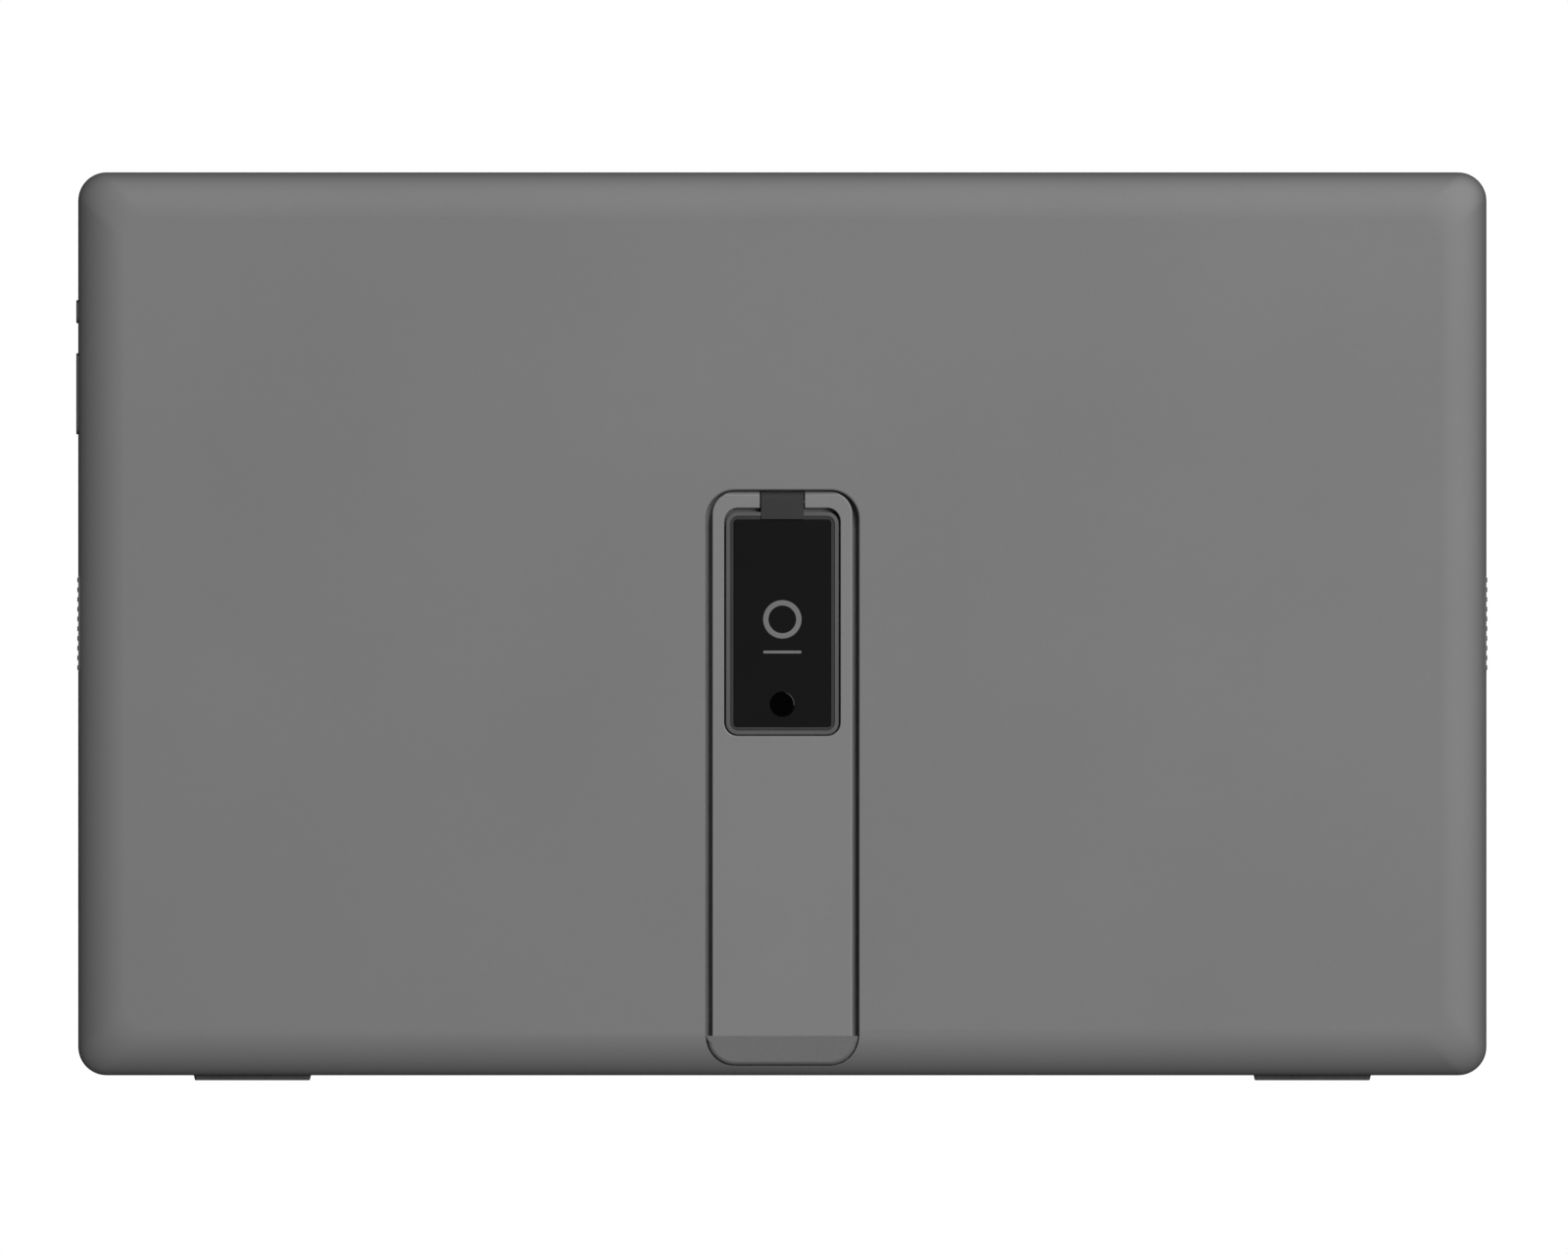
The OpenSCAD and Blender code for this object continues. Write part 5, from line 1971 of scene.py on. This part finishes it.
@dataclass
class SideKeys(SubAssembly):
    """The power button and the volume rocker in the left wall."""

    width: float = 3.0 * MM
    power_length: float = 6.6 * MM
    rocker_length: float = 22.9 * MM
    crown: float = 0.3 * MM
    flange: float = 0.6 * MM
    flange_width: float = 0.9 * MM
    nub: float = 0.8 * MM
    nub_spread: float = 8.0 * MM
    trunnion: float = 0.8 * MM

    def cap(self, name: str, node: str, length: float) -> Tuple[Workpiece, Vector]:
        """Shapes a key's cap with its crowned face.

        Args:
            name: The cap's name.
            node: The node that it stands for.
            length: Its length.

        Returns:
            The cap, and a point at its middle behind the flange.
        """
        low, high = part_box(node)
        line, height = (low.y + high.y) / 2, (low.z + high.z) / 2
        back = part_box("power_button")[1].x - self.nub
        half = self.width / 2
        cap = Workpiece.plate(name, (low.x + self.crown, line - half, height - length / 2),
                              (back, line + half, height + length / 2), Axis.X,
                              half - 0.02 * MM, 10)
        cap.grow(Way.LEFT, self.crown, -self.crown, 4)
        return cap, Vector((back, line, height))

    def power(self) -> bpy.types.Object:
        """Shapes the power button with the flange and nub behind it.

        Returns:
            The finished object.
        """
        cap, middle = self.cap("power_button_cap", "power_button", self.power_length)
        half = Vector((0, self.width / 2 + self.flange_width,
                       self.power_length / 2 + self.flange_width))
        flange = Workpiece.plate("flange", middle - half - Vector((self.flange, 0, 0)),
                                 middle + half, Axis.X, self.nub, 6)
        nub = Workpiece.rod("nub", middle - Vector((self.flange / 2, 0, 0)), Axis.X, self.nub,
                            self.nub + self.flange / 2, 24)
        return cap.combine(Join.ADD, flange, nub).smooth()

    def rocker(self) -> bpy.types.Object:
        """Shapes the volume rocker with its two nubs and its pivot.

        Returns:
            The finished object.
        """
        cap, middle = self.cap("volume_rocker_cap", "volume_rocker", self.rocker_length)
        low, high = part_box("volume_rocker")
        start = middle.x - self.flange / 2
        for up in (-self.nub_spread, self.nub_spread):
            cap.combine(Join.ADD, Workpiece.rod(
                "nub", (start, middle.y, middle.z + up), Axis.X, self.nub, high.x - start, 24))
        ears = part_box("rocker_bracket")
        pivot = ears[0].x + 1.5 * MM
        half = self.width / 2
        web = Workpiece.block("web", (start, middle.y - half + 0.1 * MM, middle.z - 1 * MM),
                              (pivot, middle.y + half - 0.1 * MM, middle.z + 1 * MM))
        axle = Workpiece.rod("axle", (pivot, low.y, middle.z), Axis.Y, self.trunnion,
                             high.y - low.y, 32)
        return cap.combine(Join.ADD, web, axle).smooth()

    def build(self) -> List[Piece]:
        """Builds both keys.

        Returns:
            The pieces.
        """
        return [
            Piece(self.power(), KEY_GREY, "key", ("power_button",), Body.POWER),
            Piece(self.rocker(), KEY_GREY, "key", ("volume_rocker",), Body.VOLUME),
        ]


@dataclass
class SocketContacts(SubAssembly):
    """The gilt contacts on the tongues of the sockets."""

    width: float = 0.25 * MM
    pitch: float = 0.5 * MM
    length: float = 4.6 * MM
    count: int = 12
    proud: float = 0.05 * MM

    def contacts(self, name: str, node: str, count: int) -> bpy.types.Object:
        """Lays rows of contacts on both faces of a tongue.

        Args:
            name: The contacts' name.
            node: The tongue.
            count: How many contacts each row has.

        Returns:
            The finished object.
        """
        low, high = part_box(node)
        line, height = (low.y + high.y) / 2, (low.z + high.z) / 2
        half = 0.35 * MM
        first = height - (count - 1) / 2 * self.pitch
        contact = Workpiece.block(
            name, (low.x + 0.5 * MM, line + half - 0.02 * MM, first - self.width / 2),
            (low.x + 0.5 * MM + self.length, line + half, first + self.width / 2))
        contact.grow(Way.FRONT, self.proud, -self.proud, 2)
        below = contact.copied()
        bpy.ops.transform.resize(value=(1, -1, 1), center_override=(0, line, 0))
        bpy.ops.object.transform_apply(location=True, rotation=True, scale=True)
        contact.gather(below.face_outwards())
        contact.repeated([(0, 0, k * self.pitch) for k in range(1, count)])
        return contact.smooth()

    def build(self) -> List[Piece]:
        """Builds the contacts of the three sockets.

        Returns:
            The pieces.
        """
        rows = (("upper_usb_contacts", "usb_c_tongue_upper", self.count),
                ("lower_usb_contacts", "usb_c_tongue_lower", self.count),
                ("mini_hdmi_contacts", "mini_hdmi_tongue", self.count + 2))
        return [Piece(self.contacts(*row), CONTACT, "socket_metal") for row in rows]


@dataclass
class InnerWorks:
    """The nodes that keep their own meshes, and the finish that each one gets."""

    finishes: Tuple[Tuple[Finish, Tuple[str, ...]], ...] = (
        (TAPE_FOAM, ("glass_tape",)),
        (PANEL, ("lcd_cell",)),
        (FILM, ("optical_films",)),
        (GUIDE, ("light_guide",)),
        (STRIP, ("led_bar",)),
        (STEEL, ("backlight_tray", "shield_can", "rocker_bracket", "friction_clips")),
        (ALUMINIUM, ("mid_frame",)),
        (SCREW, ("frame_screws", "board_screws", "bracket_screws", "key_switches")),
        # The hinge pin gets the darkened steel: painted shade.
        (PIN_STEEL_PAINTED_SHADE, ("hinge_pin",)),
        (POUCH, ("battery_left", "battery_right")),
        (BOARD, ("battery_boards", "main_board", "key_board")),
        (RIBBON, ("battery_ribbon", "key_ribbon", "display_ribbon", "camera_ribbon")),
        (CHIP_RESIN, ("board_chips",)),
        (GRAPHITE, ("heat_spreader",)),
        (SOCKET, ("usb_c_shell_upper", "usb_c_shell_lower", "mini_hdmi_shell")),
        (TONGUE_PLASTIC, ("usb_c_tongue_upper", "usb_c_tongue_lower", "mini_hdmi_tongue")),
        (INNER_PLASTIC, ("speaker_box_left", "speaker_box_right", "wifi_antennas")),
        (CONE_PAPER, ("speaker_driver_left", "speaker_driver_right")),
        (GAUZE, ("speaker_mesh_left", "speaker_mesh_right")),
        (WIRE_SLEEVE, ("speaker_wires",)),
        (CAMERA_BLACK, ("camera_module", "front_camera")),
    )

    def dress(self, wardrobe: Wardrobe) -> None:
        """Gives every node that keeps its mesh its finish, and reports it.

        Args:
            wardrobe: The finishes.
        """
        for finish, nodes in self.finishes:
            for node in nodes:
                wardrobe.dress(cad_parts[node], finish)
                LOG.info("%s: keeps its mesh, finish %s", node, finish.name)


# ---------------------------------------------------------------- studio


@dataclass
class Studio:
    """The floor, the soft lights and the camera that looks squarely at the back."""

    view_width: float = 440.9 * MM
    aim: Point = (0.47 * MM, 0.0, 127.5 * MM)
    stand_off: float = 1.2
    key_way: Point = (0.33, -0.92, 0.28)
    key_distance: float = 4.5
    key_size: Tuple[float, float] = (1.6, 4.4)
    key_power: float = 222.0
    fill_place: Point = (0.6, 3.0, 1.2)
    fill_size: Tuple[float, float] = (2.0, 2.0)
    fill_power: float = 22.0
    ambient: float = 0.05
    floor_size: float = 12.0

    def _area_light(self, name: str, place: Vector, size: Tuple[float, float],
                    power: float) -> None:
        """Adds a soft light that looks at the tablet's middle.

        Args:
            name: The light's name.
            place: Where it stands.
            size: Its width and its height.
            power: Its power in watts.
        """
        turn = (Vector(self.aim) - place).to_track_quat("-Z", "Y").to_euler()
        bpy.ops.object.light_add(type="AREA", location=place, rotation=turn)
        light = bpy.context.active_object
        light.name = name
        light.data.shape = "RECTANGLE"
        light.data.size, light.data.size_y = size
        light.data.energy = power

    def _world(self) -> None:
        """Makes the backdrop white to the camera, and a dim even light to everything else."""
        world = bpy.data.worlds.new("studio_white")
        world.use_nodes = True
        bpy.context.scene.world = world
        layout = Layout(world.node_tree)
        layout.tree.nodes.clear()
        dim = layout.feed(layout.node("Background"), Color=grey(255), Strength=self.ambient)
        white = layout.feed(layout.node("Background"), Color=grey(255), Strength=1.0)
        seen = layout.node("LightPath").outputs["Is Camera Ray"]
        mixed = layout.node("MixShader")
        for socket, output in zip(mixed.inputs, (seen, dim.outputs[0], white.outputs[0])):
            layout.tree.links.new(output, socket)
        layout.feed(layout.node("OutputWorld"), Surface=mixed.outputs[0])

    def _floor(self) -> None:
        """Lays the pale floor, which throws little light back up at the tablet."""
        clear_selection()
        bpy.ops.mesh.primitive_plane_add(size=self.floor_size, location=(0, 0, 0))
        floor = bpy.context.active_object
        floor.name = "pale_floor"
        surface = Surface("floor_paper")
        surface.feed(surface.shader, Roughness=0.9, Base_Color=surface.blend(
            surface.ramp(surface.noise(surface.point, 3.0), 0.3, 0.7), grey(238), grey(234)))
        dark = surface.feed(surface.node("BsdfDiffuse"), Color=grey(130))
        seen = surface.node("LightPath").outputs["Is Camera Ray"]
        mixed = surface.node("MixShader")
        for socket, output in zip(mixed.inputs, (seen, dark.outputs[0],
                                                 surface.shader.outputs[0])):
            surface.tree.links.new(output, socket)
        output = next(n for n in surface.tree.nodes if n.type == "OUTPUT_MATERIAL")
        surface.tree.links.new(mixed.outputs[0], output.inputs["Surface"])
        floor.data.materials.append(surface.material)

    def set_up(self) -> None:
        """Sets up the camera, the lights, the backdrop and the floor."""
        bpy.ops.object.camera_add(
            location=(self.aim[0], -self.stand_off, self.aim[2]),
            rotation=(math.pi / 2, 0, 0))
        camera = bpy.context.active_object
        camera.name = "square_on_camera"
        camera.data.type = "ORTHO"
        camera.data.ortho_scale = self.view_width
        bpy.context.scene.camera = camera
        way = Vector(self.key_way).normalized()
        self._area_light("key_light", Vector(self.aim) + way * self.key_distance,
                         self.key_size, self.key_power)
        self._area_light("screen_fill", Vector(self.fill_place), self.fill_size,
                         self.fill_power)
        self._world()
        self._floor()
        bpy.context.scene.view_settings.view_transform = "Standard"


def main() -> None:
    """Builds the tablet sub-assembly by sub-assembly, dresses it and sets up the studio."""
    logging.basicConfig(level=logging.INFO, format="%(name)s: %(message)s", force=True)
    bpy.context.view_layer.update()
    Studio().set_up()
    wardrobe = Wardrobe()
    InnerWorks().dress(wardrobe)
    for assembly in (Casing(), CoverGlass(), Feet(), SpeakerGrilles(), BadgeTray(), Stand(),
                     SideKeys(), SocketContacts()):
        assembly.dress(assembly.build(), wardrobe)
    clear_selection()


if __name__ == "__main__":
    main()
